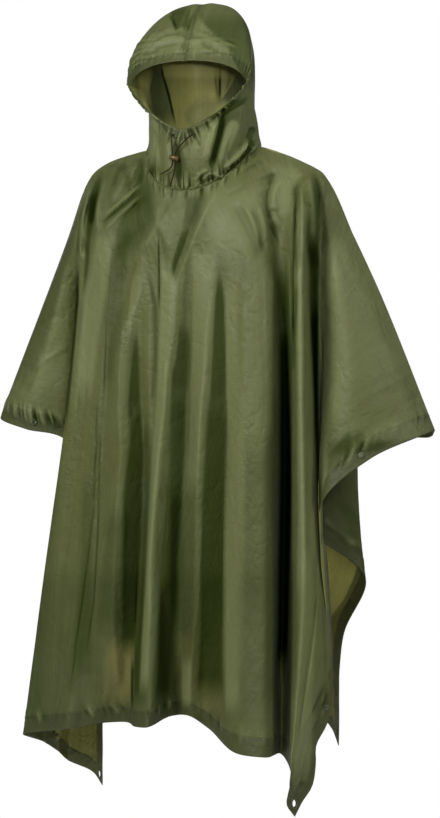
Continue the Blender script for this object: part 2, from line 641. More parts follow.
def cloth_colour(look, place, cloth, marks, tone):
    """The cloth's colour, laid on from the dyed cloth up."""
    shade, glow, lift = tone
    mottle = look.ramp(look.noise(place, 31.0, 4.0, 0.6), 0.35, 0.70, 0.0, 0.32)
    ridge = tuple(1.4 * c + 0.03 for c in cloth["main"][:3]) + (1.0,)
    colour = look.mix(look.ramp(look.noise(place, 6.0, 3.0), 0.38, 0.62), cloth["main"], cloth["second"])
    for share, layer in (
        (mottle, dimmed(cloth["second"], 0.72)),
        (glow, cloth["glow"]),
        (look.ramp(marks["streaks"], 0.42, 0.66, 0.0, 0.30), dimmed(cloth["second"], 0.62)),
        (look.times(marks["threads"], cloth["threads"]), dimmed(cloth["main"], 1.7)),
        (look.times(marks["turned"], cloth["turned_share"]), cloth["turned"]),
        (look.times(marks["groove"], 0.62), dimmed(cloth["second"], 0.25)),
        (look.times(marks["stitches"], 0.8), THREAD_GREEN),
        (shade, cloth["shade"]),
        (look.ramp(shade, 0.80, 0.99), dimmed(cloth["shade"], 0.08)),
        (lift, ridge),
    ):
        colour = look.mix(share, colour, layer)
    return colour


def cloth_height(look, place, crumple, marks):
    """Height in metres of the coated cloth's small creases, its raised threads and its stitches."""
    wrinkle = look.ramp(look.gap(look.noise(place, 17.0, 3.0), 0.5), 0.0, 0.09)
    crossing = look.ramp(look.gap(look.noise(place, 36.0), 0.5), 0.0, 0.12)
    patchy = look.ramp(look.noise(place, 7.0), 0.40, 0.60)
    return look.total(
        (crumple, 0.0022), (look.noise(place, 260.0), 0.00012), (wrinkle, 0.00110),
        (look.times(crossing, patchy), 0.00095), (marks["threads"], 0.00010),
        (marks["streaks"], 0.0012), (marks["groove"], -0.0009), (marks["stitches"], 0.0004),
    )


def cloth_look(name, cloth, stitch_line):
    """Coated ripstop. The attribute tone holds how far the cloth goes to its shade colour, to its
    glow and to its lighter ridges."""
    look = Look(name)
    place = look.place()
    marks = cloth_marks(look, stitch_line)
    tone = look.attribute("tone")
    shade, glow, _ = tone
    crumple = look.noise(place, 30.0, 5.0, 0.55)
    colour = cloth_colour(look, place, cloth, marks, tone)
    normal = look.bump(cloth_height(look, place, crumple, marks), 0.7, 1.0)
    rough = look.math("ADD", look.ramp(crumple, 0.3, 0.7, 0.42, 0.54), look.times(shade, 0.25))
    lit = look.mix(glow, NOT_LIT, cloth["lit"])
    solid = look.solid(colour, rough, Normal=normal, Specular_IOR_Level=0.34, Sheen_Weight=0.04,
                       Sheen_Roughness=0.45, Emission_Strength=1.0, Emission_Color=lit)
    through = look.fed("ShaderNodeBsdfTranslucent", Color=colour, Normal=normal)
    dull = look.fed("ShaderNodeBsdfDiffuse", Color=colour, Normal=normal)
    single = look.over(SHINE_THROUGH, solid, through)
    return look.finish(look.over(look.ramp(shade, 0.30, 0.85), single, dull))  # no shine deep in a fold


def metal_look(name):
    look = Look(name)
    place = look.place()
    worn = look.ramp(look.noise(place, 420.0, 4.0, 0.6), 0.45, 0.62)
    colour = look.mix(worn, (0.085, 0.100, 0.045, 1.0), (0.120, 0.135, 0.070, 1.0))
    normal = look.bump(look.noise(place, 900.0), 0.3, 0.0002)
    rough = look.ramp(worn, 0.0, 1.0, 0.32, 0.48)
    return look.finish(look.solid(colour, rough, Normal=normal, Metallic=0.35))


def toggle_look(name):
    look = Look(name)
    place = look.place()
    cloud = look.noise(place, 300.0, 3.0)
    colour = look.mix(look.ramp(cloud, 0.35, 0.65), (0.175, 0.118, 0.030, 1.0), (0.070, 0.046, 0.010, 1.0))
    normal = look.bump(look.noise(place, 1200.0), 0.25, 0.0002)
    rough = look.ramp(cloud, 0.3, 0.7, 0.30, 0.42)
    return look.finish(look.solid(colour, rough, Normal=normal, Metallic=0.15))


def braid_look(name):
    look = Look(name)
    x, y, z = look.split(look.place())
    flat = look.math("ADD", x, y)
    strands = [look.math("SINE", look.times(look.math(way, flat, z), BRAID_TURNS))
               for way in ("ADD", "SUBTRACT")]
    braid = look.math("MAXIMUM", *strands)
    colour = look.mix(look.ramp(braid, 0.0, 1.0), (0.006, 0.004, 0.001, 1.0), (0.052, 0.032, 0.010, 1.0))
    normal = look.bump(braid, 0.6, 0.0003)
    return look.finish(look.solid(colour, 0.75, Normal=normal, Specular_IOR_Level=0.15))


def floor_look(name):
    look = Look(name)
    cloud = look.noise(look.place(), 3.0)
    colour = look.mix(cloud, (0.80, 0.80, 0.79, 1.0), (0.86, 0.86, 0.85, 1.0))
    return look.finish(look.solid(colour, 0.85))


# ------------------------------------------------------------------ cloth meshes

LAYER = 0.0007  # from the outer to the inner face of a single layer
EDGE_LAYER = 0.0013  # and of a turned edge
INWARD_BLUR = (1.2, 1.2)  # cells over which the inner face's direction is evened out
HEM_STEPS = (0.0, 0.0022, 0.0075, 0.0130, 0.0185, 0.0240, 0.0290, 0.0325, 0.0360, 0.0410)
TOP_STEPS = (0.0, 0.0020, 0.0050, 0.0090, 0.0140, 0.0195, 0.0255, 0.0320, 0.0390, 0.0460)
EDGE_SAMPLES = 81
EDGE_TRUE = 0.05  # metres beside a side edge that keep their length in the cut
SIDE_COLUMNS = 18
BODY_STEP = 13  # columns from one fold line to the next
# other numbers of columns, by facing and fold line
STEPS_AFTER = {-1: {2: 24, 3: 20, 4: 7, 19: 9, 20: 9}, 1: {}}
# metres down to which rows lie this far apart; small folds are in the upper part
ROW_ZONES = ((0.046, 0.330, 0.0039), (0.330, 0.480, 0.0068), (0.480, 1.019, 0.0132))


def fine_columns(line, facing):
    """Places of the columns in one row: close together in the hems, then some for each fold."""
    last = len(line) - 1
    near = np.linspace(0, 2, EDGE_SAMPLES)
    sides = []
    for edge in (line, line[::-1]):
        hem = np.interp(HEM_STEPS, run_along(smooth_curve(edge, near)), near)
        sides.append(np.concatenate([hem, np.linspace(hem[-1], 2, SIDE_COLUMNS)[1:]]))
    between = [np.linspace(k, k + 1, STEPS_AFTER[facing].get(k, BODY_STEP) + 1)[1:]
               for k in range(2, last - 2)]
    return np.concatenate([sides[0], np.concatenate(between)[:-1], last - sides[1][::-1]])


def fine_rows():
    """Levels of the rows, as shares of the drop."""
    top = np.array(TOP_STEPS) / DROP
    foot = 1.0 - np.array(HEM_STEPS)[::-1] / DROP
    between = [np.arange(low, high - step / 2, step) / DROP for low, high, step in ROW_ZONES]
    return np.concatenate([top[:-1], *between, foot])


def normals_of(grid, facing):
    normal = np.cross(np.gradient(grid, axis=0), np.gradient(grid, axis=1)) * -facing
    return normal / np.maximum(np.linalg.norm(normal, axis=2, keepdims=True), 1e-12)


def panel_grid(lines, tops, facing):
    """Outer face of a panel, and for each point its place in the cut and among the fold lines."""
    rows = fine_rows()
    stations = np.array([curve_at(line, rows) for line in lines])
    places = np.array([fine_columns(stations[:, r], facing) for r in range(len(rows))])
    grid = np.array([smooth_curve(stations[:, r], places[r]) for r in range(len(rows))])
    starts = np.interp(places[0], range(len(tops)), tops)
    for corner in (-NECK_ARC, NECK_ARC):
        starts[np.argmin(np.abs(starts - corner))] = corner
    grid[0] = [top_point(start, facing) for start in starts]
    across = np.empty(places.shape)
    for r, row in enumerate(grid):
        run = run_along(row)
        marks = (0.0, EDGE_TRUE, run[-1] - EDGE_TRUE, run[-1])
        across[r] = np.interp(run, marks, (0.0, EDGE_TRUE, CUT_WIDTH - EDGE_TRUE, CUT_WIDTH))
    down = np.broadcast_to(rows[:, None] * DROP, across.shape)
    edge = np.minimum(np.minimum(across, CUT_WIDTH - across), DROP - down)
    return grid, np.stack([across, down, edge], 2), places


def off_axis(layer, place, out):
    """From the axis of a hole to each point, square to the axis."""
    away = layer - place
    return away - (away @ out)[:, :, None] * out


def cut_holes(outer, inner, holes):
    """Which cells stay. Each hole is its place, outward direction, radius to clear and radius of
    the rim: the cells inside go, and the points round them are drawn to the rim."""
    rows, cols = outer.shape[:2]
    keep = np.ones((rows - 1, cols - 1), bool)
    for place, out, clear, rim in holes:
        close = np.linalg.norm(outer - place, axis=2) < 4 * clear
        inside = (np.linalg.norm(off_axis(outer, place, out), axis=2) < clear) & close
        cells = inside[:-1, :-1] | inside[1:, :-1] | inside[:-1, 1:] | inside[1:, 1:]
        keep &= ~cells
        edge = np.zeros(inside.shape, bool)
        for down, along in ((0, 0), (0, 1), (1, 0), (1, 1)):
            edge[down:rows - 1 + down, along:cols - 1 + along] |= cells
        edge &= ~inside
        for layer in (outer, inner):
            away = off_axis(layer, place, out)
            reach = np.maximum(np.linalg.norm(away, axis=2), 1e-9)
            layer += away * (np.where(edge, rim / reach, 1.0) - 1.0)[:, :, None]
    return keep


def cell_faces(outer, keep, facing):
    """Two triangles for each cell that stays, split along its shorter diagonal."""
    index = np.arange(outer.shape[0] * outer.shape[1]).reshape(outer.shape[:2])
    r, c = np.nonzero(keep)
    a, b, d, e = index[r, c], index[r, c + 1], index[r + 1, c], index[r + 1, c + 1]
    flat = outer.reshape(-1, 3)
    falls = np.linalg.norm(flat[a] - flat[e], axis=1) <= np.linalg.norm(flat[b] - flat[d], axis=1)
    first = np.where(falls[:, None], np.stack([a, d, e], 1), np.stack([a, d, b], 1))
    second = np.where(falls[:, None], np.stack([a, e, b], 1), np.stack([d, e, b], 1))
    faces = np.vstack([first, second])
    return faces[:, ::-1] if facing > 0 else faces


def open_sides(faces):
    """Sides that belong to one face only."""
    sides = {}
    for face in faces.tolist():
        for pair in zip(face, face[1:] + face[:1]):
            if pair[::-1] in sides:
                del sides[pair[::-1]]
            else:
                sides[pair] = True
    return list(sides)


def closed_cloth(name, outer, normal, wall, facing, cut, tones, looks, holes=()):
    """One closed wall: outer faces, inner faces and the rim between them. The cut and the tones of
    the outer and the inner face are kept at its points."""
    inwards = np.stack([blurred(normal[:, :, k], INWARD_BLUR) for k in range(3)], 2)
    inwards /= np.linalg.norm(inwards, axis=2, keepdims=True)
    inwards[(0, -1), :], inwards[:, (0, -1)] = normal[(0, -1), :], normal[:, (0, -1)]
    inner = outer - inwards * wall[:, :, None]
    front_faces = cell_faces(outer, cut_holes(outer, inner, holes), facing)
    count = wall.size
    back_faces = front_faces[:, ::-1] + count
    rim_faces = np.array([(q, p, p + count, q + count) for p, q in open_sides(front_faces)])
    used = np.unique(np.vstack([front_faces, back_faces]))
    order = np.full(2 * count, -1)
    order[used] = np.arange(len(used))
    faces = [face for part in (front_faces, back_faces, rim_faces) for face in order[part].tolist()]
    mesh = bpy.data.meshes.new(name)
    mesh.from_pydata(np.vstack([outer.reshape(-1, 3), inner.reshape(-1, 3)])[used].tolist(), [], faces)
    slots = np.zeros(len(faces), np.int32)
    slots[len(front_faces):2 * len(front_faces)] = 1
    mesh.polygons.foreach_set("material_index", slots)
    for look in looks:
        mesh.materials.append(look)
    for label, pair in (("cut", (cut, cut)), ("tone", tones)):
        values = np.vstack([part.reshape(-1, 3) for part in pair])[used]
        layer = mesh.attributes.new(label, "FLOAT_VECTOR", "POINT")
        layer.data.foreach_set("vector", values.astype(np.float32).ravel())
    mesh.shade_smooth()
    mesh.update()
    return put(name, mesh)


# ------------------------------------------------------------------ creases and broad folds

DEEPER = 1.45  # times the heights of the tables of creases
CREASE_FADE = 0.22  # share of a crease over which each end fades out


def creases(flat, table):
    """Height of soft troughs and ridges. Each row: width, depth, then points of its line."""
    height = np.zeros(flat.shape[:2])
    for width, depth, *line in table:
        path = smooth_curve(line, np.linspace(0, len(line) - 1, 6 * len(line) - 5))
        low, high = path.min(0) - 3 * width, path.max(0) + 3 * width
        box = np.all((flat > low) & (flat < high), axis=2)
        if not box.any():
            continue
        points = flat[box]
        run = run_along(path)
        best = np.full(len(points), np.inf)
        along = np.zeros(len(points))
        for i, step in enumerate(np.diff(path, axis=0)):
            reach = max(step @ step, 1e-12)
            share = np.clip((points - path[i]) @ step / reach, 0, 1)
            gap = np.linalg.norm(points - path[i] - share[:, None] * step, axis=1)
            closer = gap < best
            best[closer] = gap[closer]
            along[closer] = (run[i] + share * math.sqrt(reach))[closer]
        share = along / run[-1]
        fade = ease(share, 0.0, CREASE_FADE) * ease(1 - share, 0.0, CREASE_FADE)
        height[box] += DEEPER * depth * fade * np.exp(-np.abs(best / width) ** 1.5)
    return height


# The front's folds in the upright plane that faces the camera: height levels, then for each line
# its first level, how far it stands to the right at each level, and its height in millimetres.
FOLD_LEVELS = (
    0.344, 0.305, 0.253, 0.204, 0.152, 0.075, 0.000, -0.079, -0.175, -0.290, -0.405, -0.520, -0.607,
)
FOLD_LINES = (
    # left edge
    (1, (-0.261, -0.271, -0.276, -0.280, -0.286, -0.296, -0.303, -0.315, -0.328, -0.346, -0.361, -0.371),
     (0, 0, 0, 0, 0, 0, 0, 0, 0, 0, 0, 0)),
    # thin crest
    (1, (-0.207, -0.211, -0.215, -0.219, -0.224, -0.228, -0.233, -0.240, -0.252, -0.265, -0.280),
     (0, 2, 5, 6, 7, 7, 7, 6, 6, 5, 3)),
    # thin valley
    (1, (-0.167, -0.171, -0.188, -0.209, -0.217, -0.222, -0.227, -0.233, -0.243, -0.255, -0.269),
     (-2, -5, -4, -1, 0, 0, 0, 0, 0, 0, 0)),
    # crest 2
    (1, (-0.159, -0.154, -0.164, -0.188, -0.195, -0.196, -0.190, -0.198, -0.203, -0.205, -0.192),
     (0, 4, 6, 9, 12, 15, 16, 17, 17, 16, 10)),
    # valley 2
    (3, (-0.158, -0.154, -0.157, -0.150, -0.142, -0.144, -0.152, -0.156, -0.166),
     (5, -2, -9, -14, -16, -18, -18, -18, -14)),
    # crest 2b
    (2, (-0.142, -0.134, -0.134, -0.136, -0.134, -0.136), (3, 3, 4, 4, 2, 0)),
    # thin line
    (0, (-0.121, -0.120, -0.121, -0.124, -0.126, -0.127, -0.128, -0.132),
     (-1, -3, -3, -2, -2, -2, -3, -2)),
    # crest 3
    (2, (-0.079, -0.083, -0.087, -0.105, -0.108, -0.119, -0.128, -0.136, -0.138, -0.145),
     (2, 4, 9, 15, 18, 19, 19, 19, 18, 12)),
    # valley 3
    (2, (-0.062, -0.061, -0.060, -0.061, -0.063, -0.063, -0.069, -0.077, -0.073, -0.077),
     (-6, -8, -11, -15, -18, -19, -20, -20, -18, -12)),
    # crest 4
    (2, (-0.010, -0.016, -0.027, -0.031, -0.039, -0.043, -0.047, -0.048, -0.050, -0.060),
     (1, 5, 9, 14, 17, 18, 18, 18, 17, 10)),
    # valley 4
    (2, (0.002, 0.007, 0.012, 0.013, 0.013, 0.014, 0.012, 0.010, 0.010, 0.012),
     (-5, -8, -12, -15, -18, -19, -20, -20, -18, -10)),
    # broad crest
    (2, (0.038, 0.042, 0.044, 0.042, 0.038, 0.038, 0.038, 0.038, 0.038, 0.038),
     (2, 3, 4, 4, 5, 5, 5, 5, 4, 2)),
    # band edge
    (3, (0.096, 0.108, 0.111, 0.113, 0.113, 0.111, 0.109, 0.108, 0.100), (0, 0, 2, 3, 4, 4, 4, 3, 1)),
    # band bottom
    (3, (0.115, 0.121, 0.125, 0.125, 0.127, 0.126, 0.123, 0.121, 0.115),
     (-3, -12, -20, -24, -26, -28, -28, -26, -16)),
    # band out
    (3, (0.131, 0.134, 0.137, 0.138, 0.138, 0.136, 0.134, 0.132, 0.129), (0, 0, 2, 3, 3, 3, 3, 2, 1)),
    # right edge
    (1, (0.159, 0.159, 0.159, 0.159, 0.159, 0.159, 0.159, 0.159, 0.159, 0.159, 0.159, 0.159),
     (0, 0, 0, 0, 0, 0, 0, 0, 0, 0, 0, 0)),
)
FOLD_SPAN = (-0.40, 0.20)  # from the left end of the map of folds to its right end
FOLD_HEIGHTS = (-0.64, 0.36)
FOLD_STEP = (0.0015, 0.0040)
FOLD_BLUR = (0.0026, 0.0110)
FOLD_FOOT = (-0.700, -0.560)  # where the relief would have died out, and where it is whole
FOLD_DEEPER = ((-0.60, 1.30), (-0.30, 1.45), (0.00, 1.25), (0.10, 1.0))  # height level, times
FOLD_END = 0.004  # a line reaches this far past its end levels
BODY_PLACES = (4.2, 5.2, 20.0, 21.0)  # fold lines between which the broad folds lie


def fold_map():
    """Height of the broad folds over the upright plane, rows from the foot up."""
    across = np.arange(*FOLD_SPAN, FOLD_STEP[0])
    up = np.arange(*FOLD_HEIGHTS, FOLD_STEP[1])
    field = np.zeros((len(up), len(across)))
    for r, level in enumerate(up):
        spots = []
        for first, places, heights in FOLD_LINES:
            span = FOLD_LEVELS[first:first + len(places)]
            if span[-1] - FOLD_END <= level <= span[0] + FOLD_END:
                spots.append([np.interp(level, span[::-1], values[::-1]) for values in (places, heights)])
        if len(spots) > 1:
            field[r] = np.interp(across, *zip(*sorted(spots)), left=0.0, right=0.0)
    field = blurred(field, (FOLD_BLUR[1] / FOLD_STEP[1], FOLD_BLUR[0] / FOLD_STEP[0]))
    levels, times = np.array(FOLD_DEEPER).T
    fade = ease(up, *FOLD_FOOT) * np.interp(up, levels, times)
    return field * fade[:, None] / 1000


def front_folds(grid, places):
    """Height of the broad folds at each point of the front, read from their map."""
    field, flat = fold_map(), seen(grid)
    x = np.clip((flat[:, :, 0] - FOLD_SPAN[0]) / FOLD_STEP[0], 0, field.shape[1] - 1.001)
    y = np.clip((flat[:, :, 1] - FOLD_HEIGHTS[0]) / FOLD_STEP[1], 0, field.shape[0] - 1.001)
    i, j = y.astype(int), x.astype(int)
    f, g = y - i, x - j
    height = ((1 - f) * ((1 - g) * field[i, j] + g * field[i, j + 1])
              + f * ((1 - g) * field[i + 1, j] + g * field[i + 1, j + 1]))
    a, b, c, d = BODY_PLACES
    body = ease(places, a, b) * (1 - ease(places, c, d))
    return height * body


# Smaller folds and creases: width, height, then points of the line in the same plane
FRONT_CREASES = (
    # from the right side of the collar across the chest
    (0.0090, -0.0046, (-0.019, 0.447), (-0.033, 0.409), (-0.048, 0.367), (-0.071, 0.305),
     (-0.092, 0.252), (-0.102, 0.228)),
    (0.0077, 0.0050, (-0.002, 0.428), (-0.029, 0.378), (-0.050, 0.332), (-0.069, 0.282), (-0.084, 0.244)),
    (0.0058, -0.0030, (-0.100, 0.242), (-0.106, 0.282), (-0.113, 0.324), (-0.121, 0.351)),
    # from the left side of the collar over the shoulder
    (0.0058, -0.0048, (-0.148, 0.434), (-0.173, 0.405), (-0.204, 0.378), (-0.230, 0.357)),
    (0.0067, 0.0040, (-0.142, 0.420), (-0.173, 0.390), (-0.207, 0.359), (-0.230, 0.332)),
    (0.0058, -0.0042, (-0.138, 0.417), (-0.161, 0.390), (-0.184, 0.371), (-0.200, 0.355)),
    (0.0130, -0.0030, (-0.134, 0.401), (-0.142, 0.359), (-0.169, 0.332), (-0.192, 0.305), (-0.205, 0.271)),
    (0.0096, 0.0035, (-0.119, 0.401), (-0.123, 0.359), (-0.138, 0.324), (-0.157, 0.298)),
    # faint ones under the throat
    (0.0045, -0.0016, (-0.098, 0.414), (-0.104, 0.392), (-0.114, 0.372), (-0.122, 0.352)),
    (0.0040, 0.0014, (-0.090, 0.398), (-0.100, 0.376), (-0.104, 0.352)),
    # folds of the right shoulder
    (0.0058, -0.0055, (-0.223, 0.459), (-0.238, 0.428), (-0.248, 0.394), (-0.248, 0.351)),
    (0.0058, 0.0050, (-0.215, 0.455), (-0.228, 0.420), (-0.236, 0.378), (-0.236, 0.328)),
    (0.0058, -0.0060, (-0.238, 0.432), (-0.253, 0.390), (-0.261, 0.340), (-0.257, 0.282)),
    (0.0048, 0.0040, (-0.246, 0.417), (-0.263, 0.374), (-0.269, 0.324), (-0.265, 0.278)),
    (0.0048, -0.0050, (-0.180, 0.482), (-0.196, 0.455), (-0.207, 0.420)),
    (0.0058, 0.0040, (-0.165, 0.486), (-0.177, 0.455), (-0.196, 0.420), (-0.215, 0.394)),
    (0.0058, -0.0040, (-0.173, 0.459), (-0.177, 0.432), (-0.169, 0.409)),
    (0.0048, -0.0040, (-0.150, 0.486), (-0.165, 0.470), (-0.188, 0.463)),
    (0.0045, -0.0055, (-0.196, 0.470), (-0.180, 0.457), (-0.173, 0.437), (-0.167, 0.427)),
    (0.0040, -0.0050, (-0.152, 0.486), (-0.150, 0.470), (-0.158, 0.456), (-0.170, 0.434)),
    (0.0045, 0.0050, (-0.160, 0.480), (-0.162, 0.464), (-0.172, 0.448), (-0.180, 0.430)),
    (0.0045, -0.0045, (-0.215, 0.467), (-0.204, 0.470), (-0.194, 0.470)),
    (0.0050, 0.0060, (-0.248, 0.440), (-0.256, 0.400), (-0.262, 0.360), (-0.262, 0.310)),
    (0.0050, -0.0060, (-0.230, 0.440), (-0.240, 0.405), (-0.246, 0.375), (-0.246, 0.345)),
    # folds of the left chest
    (0.0096, -0.0040, (0.023, 0.401), (0.042, 0.371), (0.061, 0.328), (0.081, 0.275)),
    (0.0067, 0.0040, (0.038, 0.401), (0.058, 0.371), (0.073, 0.336), (0.081, 0.305)),
    (0.0058, -0.0040, (0.065, 0.392), (0.077, 0.359), (0.081, 0.324), (0.084, 0.294)),
    (0.0048, 0.0030, (0.075, 0.390), (0.086, 0.355), (0.088, 0.317)),
    (0.0052, -0.0050, (0.123, 0.463), (0.100, 0.440), (0.090, 0.413), (0.092, 0.374), (0.104, 0.340),
     (0.115, 0.313)),
    (0.0077, 0.0050, (0.136, 0.455), (0.113, 0.432), (0.104, 0.405), (0.108, 0.371), (0.123, 0.336)),
    (0.0048, -0.0035, (0.092, 0.363), (0.100, 0.378), (0.119, 0.374)),
    (0.0048, -0.0080, (0.134, 0.463), (0.144, 0.432), (0.148, 0.390), (0.148, 0.324), (0.146, 0.248)),
    (0.0048, -0.0080, (0.146, 0.248), (0.144, 0.190), (0.140, 0.132), (0.140, 0.056)),
    (0.0048, 0.0060, (0.156, 0.447), (0.156, 0.401), (0.157, 0.324), (0.157, 0.267)),
    (0.0058, -0.0070, (0.175, 0.467), (0.188, 0.436), (0.196, 0.394), (0.198, 0.332), (0.196, 0.282)),
    (0.0058, 0.0060, (0.165, 0.455), (0.175, 0.420), (0.179, 0.374), (0.179, 0.317)),
    (0.0038, -0.0030, (0.159, 0.424), (0.165, 0.401), (0.177, 0.386)),
    # small ones
    (0.0048, -0.0025, (0.061, 0.420), (0.084, 0.432), (0.111, 0.447), (0.131, 0.455)),
    (0.0038, 0.0020, (0.058, 0.409), (0.081, 0.420), (0.104, 0.432)),
    (0.0038, -0.0020, (-0.044, 0.319), (-0.040, 0.305), (-0.038, 0.292)),
    (0.0038, -0.0015, (-0.029, 0.359), (-0.027, 0.340), (-0.025, 0.323)),
    (0.0048, -0.0015, (0.050, 0.228), (0.038, 0.190), (0.027, 0.148)),
    (0.0038, -0.0020, (0.008, 0.409), (0.031, 0.420), (0.054, 0.436)),
    (0.0115, -0.0030, (-0.177, 0.355), (-0.184, 0.317), (-0.188, 0.275), (-0.192, 0.228)),
    # marks on the lower body
    (0.0048, -0.0025, (-0.177, 0.000), (-0.165, -0.010), (-0.154, -0.021), (-0.148, -0.040)),
    (0.0035, -0.0020, (-0.261, -0.132), (-0.276, -0.140), (-0.296, -0.136)),
    (0.0035, 0.0016, (-0.035, -0.194), (-0.036, -0.242), (-0.038, -0.290), (-0.040, -0.348),
     (-0.044, -0.405)),
    (0.0029, -0.0020, (-0.232, -0.002), (-0.236, -0.060), (-0.242, -0.136), (-0.248, -0.213),
     (-0.257, -0.290)),
    (0.0048, -0.0020, (-0.275, -0.444), (-0.261, -0.463), (-0.246, -0.470)),
    (0.0048, -0.0020, (-0.269, -0.497), (-0.246, -0.505), (-0.223, -0.497)),
    (0.0038, -0.0012, (0.023, -0.367), (0.019, -0.405), (0.027, -0.444), (0.031, -0.472)),
    (0.0038, 0.0012, (-0.129, -0.367), (-0.134, -0.405), (-0.138, -0.444)),
)

# Folds of the hood and its collar in the same plane
HOOD_CREASES = (
    # collar
    (0.0055, -0.0065, (0.008, 0.568), (0.000, 0.530), (-0.010, 0.495), (-0.018, 0.458)),
    (0.0060, 0.0050, (-0.006, 0.566), (-0.012, 0.532), (-0.020, 0.500), (-0.026, 0.470)),
    (0.0070, 0.0040, (0.026, 0.560), (0.016, 0.524), (0.006, 0.488), (-0.002, 0.462)),
    (0.0060, -0.0050, (0.064, 0.520), (0.050, 0.488), (0.030, 0.464), (0.006, 0.444)),
    (0.0036, 0.0060, (0.056, 0.526), (0.044, 0.500), (0.026, 0.478), (0.006, 0.460)),
    (0.0034, 0.0040, (0.072, 0.512), (0.058, 0.490), (0.040, 0.468), (0.020, 0.454)),
    (0.0050, -0.0035, (0.066, 0.544), (0.056, 0.522), (0.046, 0.506)),
    (0.0060, -0.0040, (-0.086, 0.520), (-0.084, 0.486), (-0.080, 0.456), (-0.082, 0.432)),
    (0.0060, 0.0030, (-0.098, 0.516), (-0.096, 0.480), (-0.094, 0.450)),
    (0.0045, -0.0040, (-0.064, 0.540), (-0.050, 0.524), (-0.036, 0.500)),
    (0.0045, 0.0030, (-0.060, 0.532), (-0.046, 0.514), (-0.038, 0.494)),
    (0.0060, -0.0035, (-0.130, 0.548), (-0.126, 0.510), (-0.128, 0.470), (-0.134, 0.430)),
    (0.0036, -0.0022, (-0.014, 0.450), (-0.034, 0.446), (-0.046, 0.436)),
    (0.0030, 0.0050, (-0.022, 0.459), (-0.038, 0.451), (-0.046, 0.436)),
    (0.0028, 0.0040, (-0.016, 0.453), (-0.028, 0.447), (-0.035, 0.440)),
    (0.0028, 0.0036, (0.008, 0.444), (-0.007, 0.448), (-0.014, 0.456)),
    (0.0034, -0.0022, (-0.006, 0.446), (-0.022, 0.440), (-0.036, 0.430)),
    # visor and top
    (0.0050, -0.0030, (-0.048, 0.760), (-0.058, 0.736), (-0.066, 0.706), (-0.072, 0.680)),
    (0.0035, 0.0024, (-0.146, 0.690), (-0.104, 0.708), (-0.060, 0.706), (-0.024, 0.694)),
    (0.0035, -0.0022, (-0.140, 0.700), (-0.100, 0.716), (-0.060, 0.716), (-0.012, 0.700)),
    (0.0032, -0.0022, (-0.062, 0.698), (-0.030, 0.696), (0.004, 0.684), (0.020, 0.674)),
    (0.0032, 0.0020, (-0.060, 0.706), (-0.030, 0.706), (0.006, 0.694)),
    (0.0032, -0.0020, (-0.154, 0.676), (-0.120, 0.690), (-0.084, 0.694)),
    (0.0032, 0.0018, (-0.110, 0.722), (-0.086, 0.726), (-0.060, 0.724)),
    (0.0032, -0.0018, (-0.050, 0.728), (-0.026, 0.722), (-0.008, 0.710)),
    (0.0040, -0.0014, (-0.098, 0.760), (-0.084, 0.732), (-0.080, 0.724)),
)

# Creases of the back and of the sleeves' backs, in the cut: width, height, then points as
# metres to the left of the centre and metres down from the shoulder line
BACK_CREASES = (
    (0.0070, -0.0036, (-0.150, 0.012), (-0.175, 0.060), (-0.190, 0.120), (-0.198, 0.200)),
    (0.0070, 0.0040, (-0.170, 0.015), (-0.200, 0.065), (-0.222, 0.130), (-0.235, 0.210)),
    (0.0075, -0.0040, (0.120, 0.010), (0.150, 0.055), (0.165, 0.110), (0.172, 0.250)),
    (0.0070, 0.0040, (0.145, 0.012), (0.178, 0.060), (0.196, 0.125), (0.206, 0.230)),
    (0.0095, -0.0030, (-0.060, 0.008), (-0.075, 0.060), (-0.070, 0.130), (-0.050, 0.270)),
    (0.0200, 0.0045, (-0.060, 0.260), (-0.085, 0.500), (-0.100, 0.780), (-0.110, 1.020)),
    (0.0160, -0.0050, (-0.020, 0.340), (-0.030, 0.560), (-0.050, 0.800), (-0.055, 1.030)),
    (0.0220, 0.0050, (0.100, 0.300), (0.130, 0.550), (0.160, 0.800), (0.175, 1.020)),
    (0.0150, -0.0045, (0.160, 0.420), (0.200, 0.660), (0.220, 0.900), (0.225, 1.040)),
    (0.0180, -0.0040, (-0.170, 0.400), (-0.220, 0.660), (-0.260, 0.950)),
    (0.0240, 0.0040, (0.020, 0.550), (0.030, 0.800), (0.020, 1.030)),
    (0.0100, 0.0035, (0.020, 0.010), (0.030, 0.070), (0.022, 0.150), (0.005, 0.230)),
    (0.0060, -0.0040, (0.230, 0.030), (0.246, 0.090), (0.258, 0.170), (0.262, 0.290)),
    (0.0060, 0.0040, (-0.250, 0.030), (-0.262, 0.080), (-0.270, 0.160), (-0.268, 0.260)),
    (0.0050, -0.0030, (-0.110, 0.300), (-0.100, 0.360), (-0.104, 0.430), (-0.112, 0.520)),
    (0.0050, 0.0026, (0.090, 0.330), (0.084, 0.410), (0.090, 0.500), (0.095, 0.620)),
    (0.0060, -0.0025, (-0.030, 0.480), (-0.022, 0.560), (-0.026, 0.660)),
    (0.0060, -0.0028, (-0.430, 0.120), (-0.470, 0.180), (-0.485, 0.260)),
    (0.0050, 0.0024, (-0.520, 0.080), (-0.545, 0.150), (-0.540, 0.230)),
    (0.0060, -0.0028, (0.420, 0.100), (0.455, 0.170), (0.470, 0.260)),
    (0.0050, 0.0024, (0.540, 0.070), (0.560, 0.140), (0.556, 0.220)),
    (0.0045, -0.0020, (0.250, 0.700), (0.270, 0.716), (0.296, 0.722)),
    (0.0045, -0.0020, (-0.330, 0.620), (-0.300, 0.640), (-0.274, 0.648)),
    (0.0045, -0.0022, (-0.180, 0.830), (-0.150, 0.850), (-0.128, 0.846)),
    (0.0045, 0.0020, (0.060, 0.800), (0.074, 0.850), (0.070, 0.900)),
)
